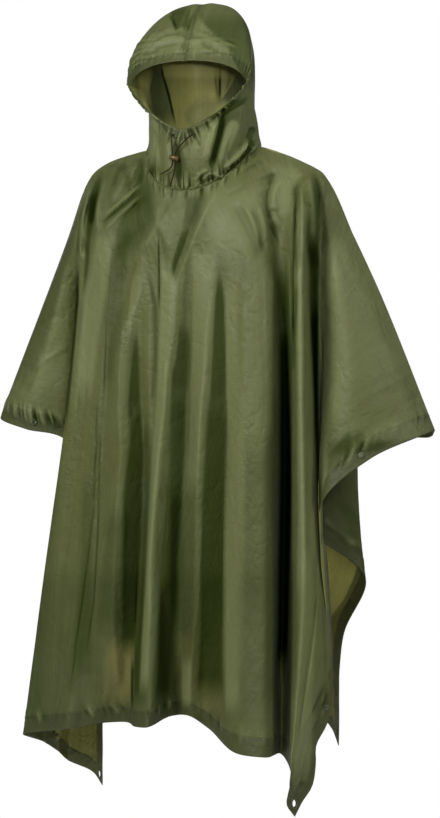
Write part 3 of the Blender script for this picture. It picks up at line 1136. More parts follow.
# Creases of the front's sleeves and sides, in the cut, which the fold lines above don't reach
SLEEVE_CREASES = (
    (0.0070, -0.0018, (-0.560, 0.050), (-0.520, 0.120), (-0.500, 0.200)),
    (0.0060, 0.0014, (-0.640, 0.110), (-0.600, 0.160), (-0.560, 0.230)),
    (0.0050, -0.0018, (-0.700, 0.060), (-0.672, 0.090), (-0.640, 0.100)),
    (0.0050, -0.0018, (-0.690, 0.110), (-0.664, 0.130), (-0.620, 0.136)),
)


# ------------------------------------------------------------------ shade, glow and pale ridges

PIXEL = 0.00192  # metres in the upright plane through the shoulders
ORIGIN_PIXEL = (220, 409)  # where the middle of that plane shows
PATCH_FADE = 28.6  # pixels, longest fade inside the upper and lower end of a patch
PATCH_EDGE = 3.1  # pixels, fade outside them

# Where the folds lie in shade, and where single cloth lets light through, read by eye in the
# camera's picture, in its pixels: how strong, how soft on the left and on the right, then
# (down, left, right) of the patch, from its upper end to its lower end.
FRONT_DARK = (
    # right sleeve
    (0.34, 3, 3, (200, 74, 82), (245, 64, 73), (290, 46, 61), (330, 30, 49), (365, 14, 37), (390, 2, 24)),
    (0.70, 1, 1, (192, 86, 89.5), (215, 79.5, 83), (240, 77, 80.5), (262, 75, 79)),
    (0.80, 1.2, 1, (262, 75.8, 79), (300, 75.5, 79), (340, 72.5, 75.5), (370, 69.5, 72.5),
     (400, 66, 69.5), (434, 62.5, 66)),
    (0.20, 1.5, 1.5, (300, 80, 84), (320, 79, 83), (345, 77, 80)),
    (0.66, 1, 1.5, (172, 99, 106), (185, 93, 103), (198, 90, 99), (215, 88, 95), (235, 86.5, 91),
     (262, 85, 89), (300, 81.5, 85)),
    # shadow beside the collar and the fold that leaves it
    (0.55, 1.5, 1, (155, 141, 144), (170, 140, 144), (184, 136, 142), (196, 124, 132), (203, 114, 122),
     (213, 105, 110), (223, 99, 102)),
    (0.62, 0.7, 1.5, (190, 136, 142), (194, 133, 139), (200, 126.5, 133), (208, 117, 123),
     (216, 108, 113), (224, 100, 103)),
    (0.50, 0.7, 1.2, (200, 136, 141), (204, 132, 137), (210, 127, 131), (218, 121.5, 124)),
    (0.44, 2, 6, (178, 143, 150), (195, 138, 154), (208, 130, 156), (220, 120, 154), (235, 116, 148),
     (250, 115, 138), (262, 114, 130)),
    (0.42, 0.9, 5, (240, 112, 122), (260, 110.5, 128), (280, 109, 127), (300, 107.6, 124),
     (330, 106.4, 121), (360, 104, 115), (395, 102, 110)),
    (0.62, 1.2, 2.5, (330, 136.5, 138), (342, 134, 139), (360, 132, 140), (380, 130, 140),
     (400, 128.5, 140), (418, 128, 142)),
    (0.50, 1.2, 1.2, (262, 144, 148), (275, 146, 151), (290, 150, 154), (305, 152.5, 157),
     (330, 153, 158), (355, 153, 157), (385, 151.5, 155), (415, 150, 154)),
    (0.85, 0.6, 0.6, (229, 157.2, 159.2), (255, 157.8, 159.8), (285, 158.2, 160.2), (312, 158.4, 159.8)),
    # fold from the right side of the collar
    (0.45, 1.5, 6, (192, 188, 202), (205, 186, 202), (218, 184, 196), (228, 181, 192)),
    (0.64, 1.0, 0.8, (222, 185.5, 192), (235, 180.5, 188), (250, 176, 183), (262, 172.5, 178),
     (275, 168.5, 174), (287, 166, 168)),
    (0.30, 1.5, 2, (238, 187, 191), (280, 183.5, 190), (305, 181.5, 190), (330, 179, 191)),
    (0.70, 1.5, 3, (318, 180, 189), (340, 178, 190.5), (358, 176, 191), (373, 172, 190),
     (388, 171.5, 189), (402, 171, 187)),
    (0.70, 1.4, 0.8, (263, 217.6, 219.6), (280, 217, 222), (300, 215, 224), (320, 214, 225),
     (360, 212, 226), (400, 210, 226.5), (418, 208, 228)),
    (0.50, 0.9, 0.9, (171.5, 277, 285), (174, 270, 279), (176.5, 264, 272), (179, 257.5, 266),
     (181, 252, 259)),
    (0.50, 0.9, 0.9, (162, 256, 265), (165, 250, 258), (168, 246, 252), (171, 243, 247)),
    # left chest
    (0.60, 0.7, 0.7, (206, 251, 252.8), (228, 255.5, 258.5), (245, 259.5, 262), (250, 261, 262.5)),
    (0.55, 0.6, 0.9, (222, 267, 268.5), (230, 271, 273), (236, 274, 276), (243, 278, 280)),
    (0.48, 0.8, 1.0, (170, 282, 285), (180, 270, 273), (195, 265.5, 268), (212, 267, 270),
     (228, 273, 277), (243, 278, 280.5)),
    (0.30, 2, 3, (222, 266, 274), (235, 267, 279), (246, 269, 280)),
    (0.26, 3, 1.5, (238, 268, 282), (262, 271, 287), (280, 273, 289), (320, 277, 290)),
    (0.74, 3, 1.5, (262, 274, 287), (305, 277.5, 289.5), (330, 279, 290.5), (360, 279.5, 291.5),
     (400, 280, 292.5), (500, 279.5, 292), (600, 278, 289), (672, 277, 287)),
    (0.74, 3, 1.5, (322, 279, 288), (360, 279.5, 288), (400, 280, 289), (430, 280, 290),
     (500, 279.5, 291), (560, 278.5, 290), (640, 278, 288), (672, 277, 287)),
    (0.42, 2, 1.5, (630, 276, 285), (700, 274, 283), (745, 273, 281)),
    (0.35, 5, 5, (380, 268, 282), (450, 266, 281), (560, 265, 280), (640, 264, 279), (715, 262, 276)),
    (0.85, 0.8, 0.8, (184, 292.5, 295), (200, 294.5, 297), (230, 292.5, 295.5), (270, 291.5, 294.5),
     (300, 291.5, 294), (350, 292, 294.5)),
    (0.35, 1.5, 1.5, (185, 303, 308), (215, 305, 309.5), (245, 306, 310)),
    (0.74, 2, 1.2, (172, 312, 316), (180, 311, 319), (195, 309, 321), (215, 308, 320), (240, 306, 319),
     (275, 308, 319)),
    (0.78, 2.5, 1.2, (236, 308, 319), (262, 309, 319.5), (290, 308.5, 318.5), (330, 310, 319.5),
     (415, 314, 319.5), (485, 316.5, 320)),
    (0.82, 2.5, 1.2, (296, 309, 318), (330, 310, 317.5), (370, 312, 317.5), (415, 314, 319.5),
     (450, 315, 319), (485, 316.5, 320), (520, 318, 320.5)),
    (0.45, 1, 1, (186, 319, 321.5), (205, 322.5, 324.5), (240, 322.5, 324.5), (272, 320.5, 322.5)),
    # lower body
    (0.55, 0.7, 0.7, (300, 106, 107.5), (350, 104.5, 106), (400, 103, 104.5), (440, 102, 103.5)),
    (0.60, 0.7, 0.7, (395, 96.5, 98), (440, 95.5, 97), (520, 92.5, 94), (580, 84, 86), (640, 75.5, 77.5),
     (690, 70, 71.5)),
    (0.60, 0.8, 0.8, (420, 99.5, 101.5), (530, 97, 99), (600, 93, 95), (655, 85, 87)),
    (0.22, 3, 4, (420, 93, 102), (520, 89, 98), (580, 81, 93), (650, 72, 84), (705, 66, 76)),
    (0.78, 3, 1.2, (398, 130, 141), (416, 129, 142), (440, 129.5, 143), (460, 127, 143),
     (500, 122.5, 142.5), (540, 122.5, 140.5), (560, 122, 139.5), (600, 121.5, 137), (630, 121, 135.5),
     (650, 122, 134.5), (664, 129, 134.5)),
    (0.80, 0.8, 0.6, (655, 131, 134.5), (690, 130.5, 133.5), (714, 131, 134)),
    (0.68, 2.5, 5, (380, 172, 189), (430, 169.5, 188), (500, 165, 183), (560, 160.5, 179.5),
     (600, 158.5, 178), (680, 156.5, 173), (715, 153, 170)),
    (0.42, 6, 4, (500, 108, 130), (560, 103, 126), (610, 98, 124), (640, 96, 116)),
    (0.26, 6, 6, (470, 162, 200), (540, 158, 199), (600, 156, 199), (680, 155, 199), (725, 155, 200)),
    (0.32, 20, 20, (560, 30, 270), (640, 28, 270), (740, 20, 270)),
    (0.76, 3, 1.5, (392, 208, 226), (405, 207.5, 227.5), (430, 206, 227.5), (500, 201.5, 225.5),
     (560, 200, 224), (640, 199, 223), (680, 197, 223), (706, 197, 223)),
    (0.20, 2, 2, (380, 198, 203), (430, 193, 199), (500, 190, 196)),
    (0.30, 1, 1, (440, 313, 317), (500, 317, 320), (560, 320, 323), (640, 323, 326), (690, 325, 328)),
    (0.34, 4, 8, (470, 20, 60), (600, 20, 52), (700, 18, 46), (735, 16, 44)),
    (0.70, 1, 5, (412, 142, 150), (440, 143.5, 149), (500, 143.5, 150), (560, 138, 150),
     (600, 135.5, 148), (650, 134.5, 147), (700, 134, 147), (716, 134, 147)),
    (0.40, 3, 2, (318, 130, 137), (360, 128, 138), (400, 127, 141), (425, 128, 142)),
    (0.38, 4, 4, (470, 82, 92), (560, 80, 92), (640, 76, 92), (685, 74, 92)),
    (0.38, 3, 3, (480, 170, 184), (560, 170, 184), (640, 172, 182)),
    (0.20, 8, 5, (440, 242, 268), (560, 242, 268), (620, 246, 266)),
    (0.30, 2, 3, (193, 88, 97), (215, 84, 97), (242, 80, 96)),
    (0.34, 4, 4, (232, 305, 316), (270, 307, 318), (320, 308, 314)),
    # right cuff
    (0.30, 1.5, 2, (410, 2, 6), (414, 6, 34), (419, 12, 60), (426, 26, 64), (431, 40, 64)),
    (0.50, 1, 1.5, (415, 28, 40), (419, 30, 44), (424, 34, 48)),
    (0.50, 1, 1.5, (417, 48, 58), (423, 50, 62), (429, 54, 63)),
    # left sleeve
    (0.08, 7, 6, (215, 335, 352), (250, 347, 366), (290, 363, 384), (320, 376, 398), (360, 391, 417),
     (395, 404, 434), (415, 414, 440)),
    (0.56, 2.5, 3, (430, 356, 368), (436, 345, 378), (443, 338, 388), (450, 333, 384), (456, 328, 352)),
    (0.20, 1.5, 1.5, (436, 384, 390), (448, 388, 394)),
    # front left corner
    (0.42, 0.8, 1.5, (682, 323, 330), (696, 317, 328), (706, 313, 328), (716, 311, 324)),
    (0.50, 0.6, 0.8, (684, 324, 325.6), (700, 317.5, 319), (712, 311.5, 313), (728, 303.5, 305),
     (742, 296.5, 298)),
    (0.10, 1, 1, (750, 313.5, 318), (762, 306, 317), (774, 297, 313.5), (786, 288, 309), (800, 287, 304),
     (814, 290, 299)),
    (0.22, 8, 8, (165, 95, 150), (200, 88, 150), (240, 84, 140)),
    (0.30, 4, 4, (165, 138, 152), (190, 134, 152), (215, 128, 152)),
    (0.40, 2, 2, (436, 332, 352), (455, 322, 350), (474, 319, 333)),
)
BACK_DARK = (
    (0.40, 5, 5, (468, 330, 366), (500, 318, 366), (528, 318, 366), (545, 330, 366), (560, 345, 366),
     (572, 358, 366)),
    (0.30, 3, 3, (500, 335, 350), (520, 345, 360), (545, 350, 358)),
    (0.14, 1.5, 1, (566, 359, 370), (578, 355, 370), (600, 347, 362), (622, 332, 350), (640, 322, 341),
     (658, 322, 330)),
    (0.62, 2, 2, (731, 24, 60), (748, 38, 72), (762, 56, 84), (772, 76, 90)),
    (0.35, 1.5, 1.5, (730, 64, 72), (750, 68, 77), (770, 72, 80)),
    (0.45, 1, 1, (726, 97.5, 104), (760, 97.5, 104), (784, 93, 104)),
)
HOOD_DARK = (
    (0.50, 0.7, 0.7, (10, 194, 196), (22, 190.5, 192.5), (34, 186, 188), (48, 183.5, 185),
     (58, 182.5, 184)),
    (0.66, 1.2, 1, (4, 172, 192), (13, 171, 190), (25, 173, 187), (38, 177, 181)),
    (0.58, 1.2, 6, (5, 200, 262), (14, 199, 264), (24, 204, 264), (36, 216, 264), (46, 228, 264),
     (60, 233, 264), (74, 240, 264), (95, 252, 264)),
    (0.42, 1.5, 2, (54, 136, 142), (66, 128, 141), (78, 126, 136), (92, 127, 137.5), (108, 134, 143)),
    (0.40, 1, 2, (112, 145, 148), (150, 144, 147), (168, 141, 152), (182, 140, 156), (192, 142, 158)),
    (0.42, 1.5, 4, (108, 222, 230), (120, 219, 227), (135, 216, 222), (150, 212.5, 219),
     (165, 208.5, 216), (174, 206, 214)),
    (0.74, 1.5, 2, (96, 240, 249), (104, 220, 244), (112, 207, 230), (121, 199, 219)),
    (0.48, 1.5, 2, (139, 253, 260), (150, 244, 254), (160, 233, 248), (168, 226, 242), (178, 214, 230),
     (184, 208, 222)),
    (0.38, 1.5, 2, (148, 175, 182), (165, 177, 187), (180, 175, 185)),
    (0.30, 1, 1, (128, 188, 192), (140, 196, 199), (148, 201, 203)),
    (0.40, 3, 4, (100, 222, 244), (125, 219, 240), (145, 215, 238), (170, 210, 226)),
)
HOOD_LIGHT = (
    (0.34, 1.2, 1.2, (14, 192, 197), (24, 191, 203), (31, 189, 210), (35, 151, 213), (46, 142, 226),
     (60, 140, 230)),
    (0.80, 2, 1.5, (108, 150, 157), (130, 149.5, 158), (150, 149, 159), (168, 150, 161)),
    (0.35, 2, 2, (128, 200, 212), (145, 192, 208), (165, 188, 203)),
)
# the two corners of the face opening that show the hood's inside
INSIDE_RIGHT = (
    (58, 151.5, 160), (75, 152.5, 163), (90, 149, 167.5), (105, 146, 171.5), (118, 158, 174.5),
    (128, 170, 176),
)
INSIDE_LEFT = ((74, 237, 254), (84, 232, 254), (92, 227, 254), (104, 218, 254))
HOOD_INSIDE_GREEN = ((1.0, 1, 1, *INSIDE_RIGHT), (1.0, 1, 1, *INSIDE_LEFT))
HOOD_INSIDE_DARK = (
    (0.34, 1, 1, *INSIDE_LEFT),
    (0.32, 1, 1, *INSIDE_RIGHT),
    (0.90, 0.6, 0.8, (58, 158.5, 160.5), (75, 161.5, 164), (95, 167, 170), (128, 175, 177)),
    (0.22, 2, 8, (60, 162, 180), (80, 165, 186), (100, 171, 190), (126, 177, 196)),
    (0.97, 0.6, 0.6, (60, 218.6, 221.4), (102, 218.6, 221.4)),
    (0.55, 1, 1, (66, 215, 217), (82, 214.5, 217), (98, 217, 219)),
    (0.40, 1, 1, (64, 228, 232), (80, 228, 231), (92, 224, 227)),
    (0.32, 2, 1, (60, 132, 137), (80, 133, 138.5), (108, 140, 146)),
    (0.12, 2, 2, (60, 143, 147), (85, 144, 149), (105, 146, 149)),
    (0.34, 3, 3, (96, 198, 222), (114, 184, 214), (130, 190, 202)),
)
HOOD_INSIDE_LIGHT = (
    (0.75, 2, 2, (62, 136, 149), (90, 140, 149), (114, 146, 152)),
    (0.60, 1, 5, (59, 165, 214), (66, 163, 228), (78, 164, 232)),
)
FRONT_LIGHT = (
    (0.62, 3, 3, (162, 262, 292), (175, 275, 302), (190, 272, 292), (205, 272, 291), (218, 275, 291)),
    (0.40, 9, 9, (180, 215, 260), (205, 203, 260), (230, 205, 255), (262, 222, 250)),
    (0.55, 0.9, 0.7, (184, 139, 143), (190, 131, 136), (196, 124, 129.5), (203, 116, 121),
     (211, 107, 112), (219, 101, 104.5)),
    (0.60, 3, 3, (225, 98, 112), (240, 96, 112), (290, 86, 106), (340, 81, 98), (400, 76, 92)),
    (0.45, 3, 3, (262, 66, 73), (290, 61, 71), (340, 49, 68), (365, 40, 66), (402, 26, 62)),
    (0.70, 1.5, 3, (250, 162, 168), (290, 161, 176), (340, 159.5, 171), (400, 156.5, 165),
     (450, 152.5, 162), (520, 148.5, 156), (580, 145.5, 153), (640, 142, 149), (700, 139, 148)),
    (0.55, 1.5, 3, (240, 192, 216), (290, 193, 212), (340, 192.5, 210), (400, 190.5, 203),
     (450, 189, 200), (500, 187, 195)),
    (0.64, 1.0, 6, (270, 223, 238), (300, 226, 238), (340, 227, 238), (400, 228, 240), (450, 229, 243),
     (520, 227.5, 242), (580, 226, 240), (640, 225, 240), (690, 225, 238), (722, 225, 236)),
    (0.80, 1, 1, (195, 297.5, 301), (240, 297.5, 301.5), (290, 297.5, 302), (340, 296.5, 303),
     (400, 297.5, 303), (450, 297, 304), (520, 298, 305), (600, 296, 306)),
    (0.60, 2, 2, (655, 182, 191), (710, 182, 191)),
    (0.75, 1.5, 12, (235, 324, 342), (270, 323.5, 345), (320, 322, 345), (370, 321.5, 345),
     (430, 321, 345)),
    (0.50, 1, 1, (262, 137, 143), (290, 131, 142), (320, 128, 132), (340, 127, 131)),
    (0.60, 2, 2, (680, 290, 312), (720, 287, 312), (750, 287, 312), (785, 288, 308)),
    (0.50, 3, 3, (540, 298, 312), (640, 298, 314), (700, 296, 312)),
    (0.50, 2, 2, (262, 262, 272), (360, 264, 273), (445, 265, 273)),
    (0.70, 1.5, 3, (250, 320.5, 332), (330, 319, 331), (400, 318.5, 328), (490, 319, 326)),
    (0.35, 2, 2, (420, 388, 430), (432, 366, 430), (442, 352, 402)),
    (0.16, 12, 12, (220, 332, 350), (300, 345, 385), (385, 350, 412)),
    (0.20, 6, 6, (270, 240, 262), (350, 240, 264), (450, 242, 264)),
    (0.35, 3, 3, (172, 254, 266), (200, 252, 264), (240, 256, 264)),
    (0.40, 2, 2, (430, 307, 316), (500, 309, 318), (570, 311, 319)),
)
FRONT_GLOW = (
    (0.85, 6, 1, (634, 112, 132), (650, 108, 134), (660, 105.5, 133.8), (690, 103, 133.5),
     (708, 103, 133.5)),
    (0.50, 4, 5, (628, 179, 190), (660, 178, 192), (700, 178, 192)),
    (0.42, 8, 3, (640, 194, 222), (680, 192, 223), (722, 190, 224)),
    (0.22, 4, 6, (440, 172, 176), (540, 165, 170), (600, 162, 166)),
)
BACK_GLOW = (
    (0.55, 1, 1, (532, 318, 322), (545, 318, 337), (556, 318, 349), (568, 318, 357), (580, 320, 353),
     (600, 322, 344), (615, 324, 333), (626, 326, 328)),
    (0.8, 4, 2, (728, 54, 72), (752, 64, 76)),
)


def patches(flat, table):
    """How far each point lies in any of the patches, 0 to 1."""
    clear = np.ones(flat.shape[:2])
    across = ORIGIN_PIXEL[0] + flat[:, :, 0] / PIXEL
    down = ORIGIN_PIXEL[1] - flat[:, :, 1] / PIXEL
    for strength, soft_left, soft_right, *rows in table:
        levels, left, right = np.array(rows).T
        a, b = np.interp(down, levels, left), np.interp(down, levels, right)
        inside = ease(across, a - soft_left, a + soft_left)
        inside *= 1 - ease(across, b - soft_right, b + soft_right)
        fade = min(0.25 * (levels[-1] - levels[0]), PATCH_FADE)
        inside *= ease(down, levels[0] - PATCH_EDGE, levels[0] + fade)
        inside *= 1 - ease(down, levels[-1] - fade, levels[-1] + PATCH_EDGE)
        clear *= 1 - strength * inside
    return 1 - clear


def face_tones(grid, facing, outer, inner, low, high):
    """Tones of the outer and the inner face, from tables of patches for shade, glow and ridges. A
    face counts where it shows, which eases in from low to high as it turns to the front left."""
    flat = seen(grid)
    shows = ease(normals_of(grid, facing) @ VIEW_BACK, low, high)
    return [np.stack([patches(flat, table) * share for table in tables], 2)
            for tables, share in ((outer, shows), (inner, 1 - shows))]


def panel_tones(name, grid):
    if name == "front":
        return face_tones(grid, -1, (FRONT_DARK, FRONT_GLOW, FRONT_LIGHT), ((), (), ()), -0.25, 0.05)
    return face_tones(grid, 1, (BACK_DARK, (), ()), (BACK_DARK, BACK_GLOW, ()), -0.05, 0.05)


def hood_tones(grid, side):
    return face_tones(grid, -side, (HOOD_DARK, (), HOOD_LIGHT),
                      (HOOD_INSIDE_DARK, HOOD_INSIDE_GREEN, HOOD_INSIDE_LIGHT), -0.05, 0.10)


HOLLOW_SHADE, RIDGE_LIGHT = 0.52, 0.42  # how far a small fold's hollow darkens and its ridge lightens
HOLLOW_START = 0.0002


def with_hollows(tone, relief, whole=0.0085, gain=1.0):
    """Darker hollows and lighter ridges; whole is the height at which they are at their full."""
    for k, height, most in ((0, -relief, HOLLOW_SHADE), (2, relief, RIDGE_LIGHT)):
        tone[:, :, k] = 1 - (1 - tone[:, :, k]) * (1 - gain * most * ease(height, HOLLOW_START, whole))
    return tone


# ------------------------------------------------------------------ gathers

HEM_WAVES = (0.0410, 0.0263, 0.0171, 0.0121)
HEM_PATCHES = (0.21, 0.13)  # lengths over which the puckers grow and fade
HEM_DEPTH = 0.0026
HEM_SLANT = 0.7
HEM_MIDDLE, HEM_REACH = 0.030, 0.013  # metres from the edge
CUFF_END = (0.33, 0.40)  # metres down over which the cuff's deeper puckers end
NECK_WAVES, NECK_SHORT_WAVES = (0.0260, 0.0149, 0.0092), (0.0123, 0.0089)
NECK_FALL, NECK_SHORT_FALL = 0.019, 0.007  # metres from the seam over which gathers die away
NECK_LIFT, NECK_SHORT_LIFT = 0.0066, 0.0030
SWELL = 0.0007  # height of the panels' faint unevenness
SWELL_ACROSS, SWELL_DOWN = (0.137, 0.083, 0.051), (0.31, 0.17, 0.093)
PANEL_START = {"front": 0.4, "back": 2.9}  # where its waves begin, in radians
SEAM_FIXED = 0.010  # metres below the top line over which relief grows from nothing


def hem_puckers(cut, start):
    """Short slanted gathers along the stitched edges, deeper at the cuffs."""
    across, down, edge = (cut[:, :, k] for k in range(3))
    foot = DROP - down < np.minimum(across, CUT_WIDTH - across)
    along = np.where(foot, across, down) + HEM_SLANT * edge
    wave = uneven(along, HEM_WAVES, start)
    patchy = 0.45 + 0.55 * ease(uneven(along, HEM_PATCHES, start + 2.0), -0.4, 0.5)
    sharp = np.sign(wave) * np.abs(wave) ** 0.8
    right = across < CUT_WIDTH / 2
    cuff = 1.0 + (0.5 + 1.0 * right) * (1 - ease(down, *CUFF_END)) * (1 - foot)
    reach = np.exp(-((edge - HEM_MIDDLE) / HEM_REACH) ** 2) * ease(edge, 0.0, 0.008)
    return HEM_DEPTH * sharp * patchy * cuff * reach


def neck_gathers(arc, away, start):
    """Small gathers that leave the neck seam."""
    wave = uneven(arc, NECK_WAVES, start)
    short = uneven(arc + 0.4 * away, NECK_SHORT_WAVES, start + 1.0)
    return (NECK_LIFT * wave * ease(away, 0.0, 0.007) * np.exp(-(away / NECK_FALL) ** 1.3)
            + NECK_SHORT_LIFT * short * ease(away, 0.0, 0.003) * np.exp(-(away / NECK_SHORT_FALL) ** 2))


def panel_relief(name, grid, cut):
    """Height of a panel's puckers and gathers and of its faint unevenness."""
    start = PANEL_START[name]
    arc, down = cut[:, :, 0] - CUT_WIDTH / 2, cut[:, :, 1]
    near_neck = 1 - ease(np.abs(grid[:, :, 0]), 0.100, 0.120)
    swell = SWELL * uneven(arc + 0.3 * down, SWELL_ACROSS, start)
    swell *= uneven(down - 0.2 * arc, SWELL_DOWN, start + 1.0)
    return hem_puckers(cut, start) + neck_gathers(arc, down, start) * near_neck + swell


def folded_panel(name, facing, grid, cut, places):
    """The panel with its folds, then how far its small folds and its gathers stand out."""
    fixed = ease(cut[:, :, 1], 0.0, SEAM_FIXED)
    small = np.zeros(fixed.shape)
    table = BACK_CREASES
    if name == "front":
        table = SLEEVE_CREASES
        broad = front_folds(grid, places) * fixed
        small = creases(seen(grid), FRONT_CREASES) * fixed
        grid = grid + (broad + small)[:, :, None] * VIEW_BACK
    gathers = panel_relief(name, grid, cut) * fixed
    folds = creases(cut[:, :, :2] - (CUT_WIDTH / 2, 0.0), table) * fixed
    grid = grid + normals_of(grid, facing) * (gathers + folds)[:, :, None]
    return grid, small + folds, gathers


# ------------------------------------------------------------------ hood

HOOD_CASING = (0.0, 0.0025, 0.0060, 0.0100, 0.0140, 0.0175, 0.0195, 0.0225, 0.0270)
HOOD_DOWN = 150
HOOD_SAMPLES = 81
HOOD_ARC_STEPS = 100
HOOD_LOWER = 0.09  # share over which the lower edge is drawn to the neck seam
HOOD_MEET = 0.00003  # from the centre plane to the edges where the halves meet

# Waves of the hood's small folds, and by side where they begin, in radians
HOOD_START = {-1: 0.3, 1: 1.9}
HOOD_ROUND, HOOD_TALL = 0.42, 0.30  # metres for one turn and for the whole share
GATHER_WAVES, GATHER_DEPTH = (0.0193, 0.0117, 0.0077), 0.0036
GATHER_MIDDLE, GATHER_REACH = 0.019, 0.014  # metres from the rim
CHIN_TURNS = {-1: (0.60, 0.80), 1: (0.28, 0.56)}  # over which the gathers tighten towards the chin
ROLL_WAVES, ROLL_DEPTH = (0.0125, 0.0081), 0.0022
ROLL_START = (0.010, 0.022)  # metres from the rim over which the rolls begin
ROLL_END = {-1: (0.060, 0.095), 1: (0.048, 0.070)}  # and end
ROLL_TURNS = {-1: (0.34, 0.50), 1: (0.18, 0.32)}  # turns over which they end
SEAM_DENT, SEAM_WIDTH = 0.0012, 0.012  # of the centre seam, the width in turns
SEAM_LIP, SEAM_LIP_TURN, SEAM_LIP_WIDTH = 0.0008, 0.032, 0.016
SEAM_FROM = 0.02  # share above which the centre seam shows


def hood_points(table, shares, turn):
    """Points of the right hood half at one turn: 0 on the back seam, 0.5 at the side, 1 at the throat."""
    places = np.interp(shares, table[:, 0], np.arange(len(table)))
    yb, zb, xs, ys, zs, yf, zf, square_back, square_front = smooth_curve(table[:, 1:], places).T
    sine, cosine = max(0.0, math.sin(turn * math.pi)), math.cos(turn * math.pi)
    power, end_y, end_z = (square_back, yb, zb) if cosine >= 0 else (square_front, yf, zf)
    reach = abs(cosine) ** power
    x = -xs * (sine ** power if sine > 0 else 0.0)
    return np.stack([x, ys + (end_y - ys) * reach, zs + (end_z - zs) * reach], 1)


def hood_dents(share, turn, side):
    """How far the broad folds move points of the hood inwards."""
    out = np.zeros(share.shape)
    for turn_low, turn_high, low, high, width, depth in HOOD_FOLDS[side]:
        along = np.clip((share - low) / (high - low), 0.0, 1.0)
        away = (turn - turn_low - (turn_high - turn_low) * along) / width
        out += depth * np.sin(math.pi * along) ** FOLD_SHARPNESS * np.exp(-away * away)
    return out


def hood_grid(side):
    """Outer face of a hood half, rows from the neck seam to the face and columns from the back
    seam, and for each point its share, its turn and its distances to the rim and the back seam."""
    table = np.asarray(HOOD_SECTIONS, float)
    arcs = np.linspace(0, NECK_ARC, HOOD_ARC_STEPS + 1)
    edge = np.array([neck_ring(arc, 1) for arc in arcs] + [neck_ring(arc, -1) for arc in arcs[-2::-1]])
    turns = np.arctan2(np.abs(edge[:, 0]), edge[:, 1] - NECK_CENTRE_Y) / math.pi
    turns[0], turns[-1] = 0.0, 1.0
    fine = np.linspace(1, 0, HOOD_SAMPLES)
    columns, shares, to_rim = [], [], []
    for turn in turns:
        run = run_along(hood_points(table, fine, turn))
        casing = np.interp(HOOD_CASING, run, fine)[::-1]
        shares.append(np.concatenate([np.linspace(0, casing[0], HOOD_DOWN)[:-1], casing]))
        columns.append(hood_points(table, shares[-1], turn))
        to_rim.append(np.interp(shares[-1], fine[::-1], run[::-1]))
    grid = np.array(columns).transpose(1, 0, 2)
    share, to_rim = np.array(shares).T, np.array(to_rim).T
    grid[:, :, 0] *= -1
    lower = edge + np.array([0.0, 0.0, NECK_RISE]) - grid[0]
    grid += lower * (1 - ease(share, 0.0, HOOD_LOWER))[:, :, None]
    grid[:, :, 0] *= side
    across = np.array([run_along(row) for row in grid])
    return grid, share, np.broadcast_to(turns, share.shape), to_rim, across


def hood_detail(grid, share, turn, to_rim, side):
    """Small folds of a hood half: casing gathers, rolls along the visor, folds of the collar."""
    facing_camera = ease(normals_of(grid, -side) @ VIEW_BACK, -0.05, 0.20)
    relief = creases(seen(grid), HOOD_CREASES) * facing_camera
    around = turn * HOOD_ROUND
    start = HOOD_START[side]
    # gathers across the casing, tightest near the chin
    tight = 0.3 + 0.7 * ease(turn, *CHIN_TURNS[side])
    gathers = GATHER_DEPTH * uneven(around + 0.25 * to_rim, GATHER_WAVES, start) * tight
    gathers *= np.exp(-((to_rim - GATHER_MIDDLE) / GATHER_REACH) ** 2)
    relief += gathers * ease(to_rim, 0.0, 0.006)
    # low rolls that follow the rim over the brow
    rolls = ROLL_DEPTH * uneven(to_rim + 0.006 * np.sin(around * 31.0 + start), ROLL_WAVES, start)
    rolls *= ease(to_rim, *ROLL_START)
    relief += rolls * (1 - ease(to_rim, *ROLL_END[side])) * (1 - ease(turn, *ROLL_TURNS[side]))
    # gathers above the neck seam
    relief += neck_gathers(around, share * HOOD_TALL, start) * (0.4 + 0.6 * ease(turn, 0.45, 0.65))
    # the seam line at the crown and the back
    above = share > SEAM_FROM
    relief -= SEAM_DENT * np.exp(-(turn / SEAM_WIDTH) ** 2) * above
    relief += SEAM_LIP * np.exp(-((turn - SEAM_LIP_TURN) / SEAM_LIP_WIDTH) ** 2) * above
    return relief


# ------------------------------------------------------------------ hardware

TURNED_SIDES = 32
CRISP_EDGE = 50.0  # degrees


def turned(name, profile, matrix, look, closed_on_axis=False):
    """A solid of revolution about local +Z from (radius, height) pairs."""
    work = bmesh.new()
    angles = [2 * math.pi * k / TURNED_SIDES for k in range(TURNED_SIDES)]
    rings = []
    for radius, height in profile:
        spots = [(radius * math.cos(a), radius * math.sin(a), height) for a in angles]
        rings.append([work.verts.new(spot) for spot in (spots if radius else spots[:1])])
    pairs = list(zip(rings, rings[1:]))
    if not closed_on_axis:
        pairs.append((rings[-1], rings[0]))
    for low, high in pairs:
        for k in range(TURNED_SIDES):
            n = (k + 1) % TURNED_SIDES
            corners = [low[k % len(low)], low[n % len(low)], high[n % len(high)], high[k % len(high)]]
            work.faces.new(list(dict.fromkeys(corners)))
    bmesh.ops.recalc_face_normals(work, faces=work.faces)
    bmesh.ops.transform(work, matrix=matrix, verts=work.verts)
    mesh = bpy.data.meshes.new(name)
    work.to_mesh(mesh)
    work.free()
    mesh.shade_smooth()
    mesh.set_sharp_from_angle(angle=math.radians(CRISP_EDGE))
    mesh.materials.append(look)
    return put(name, mesh)


def centre_of(node):
    low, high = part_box(node)
    return (np.array(low) + np.array(high)) / 2


def spot_on(grid, normal, node):
    """The place of a cloth's outer face nearest to a node's middle, and its outward direction."""
    near = centre_of(node)
    away = np.linalg.norm(grid - near, axis=2)
    r, c = np.unravel_index(np.argmin(away), away.shape)
    out = normal[r, c]
    return near - ((near - grid[r, c]) @ out) * out, out


def standing_on(place, out):
    turn = Vector(out).to_track_quat("Z", "Y").to_matrix().to_4x4()
    return Matrix.Translation(Vector(place)) @ turn


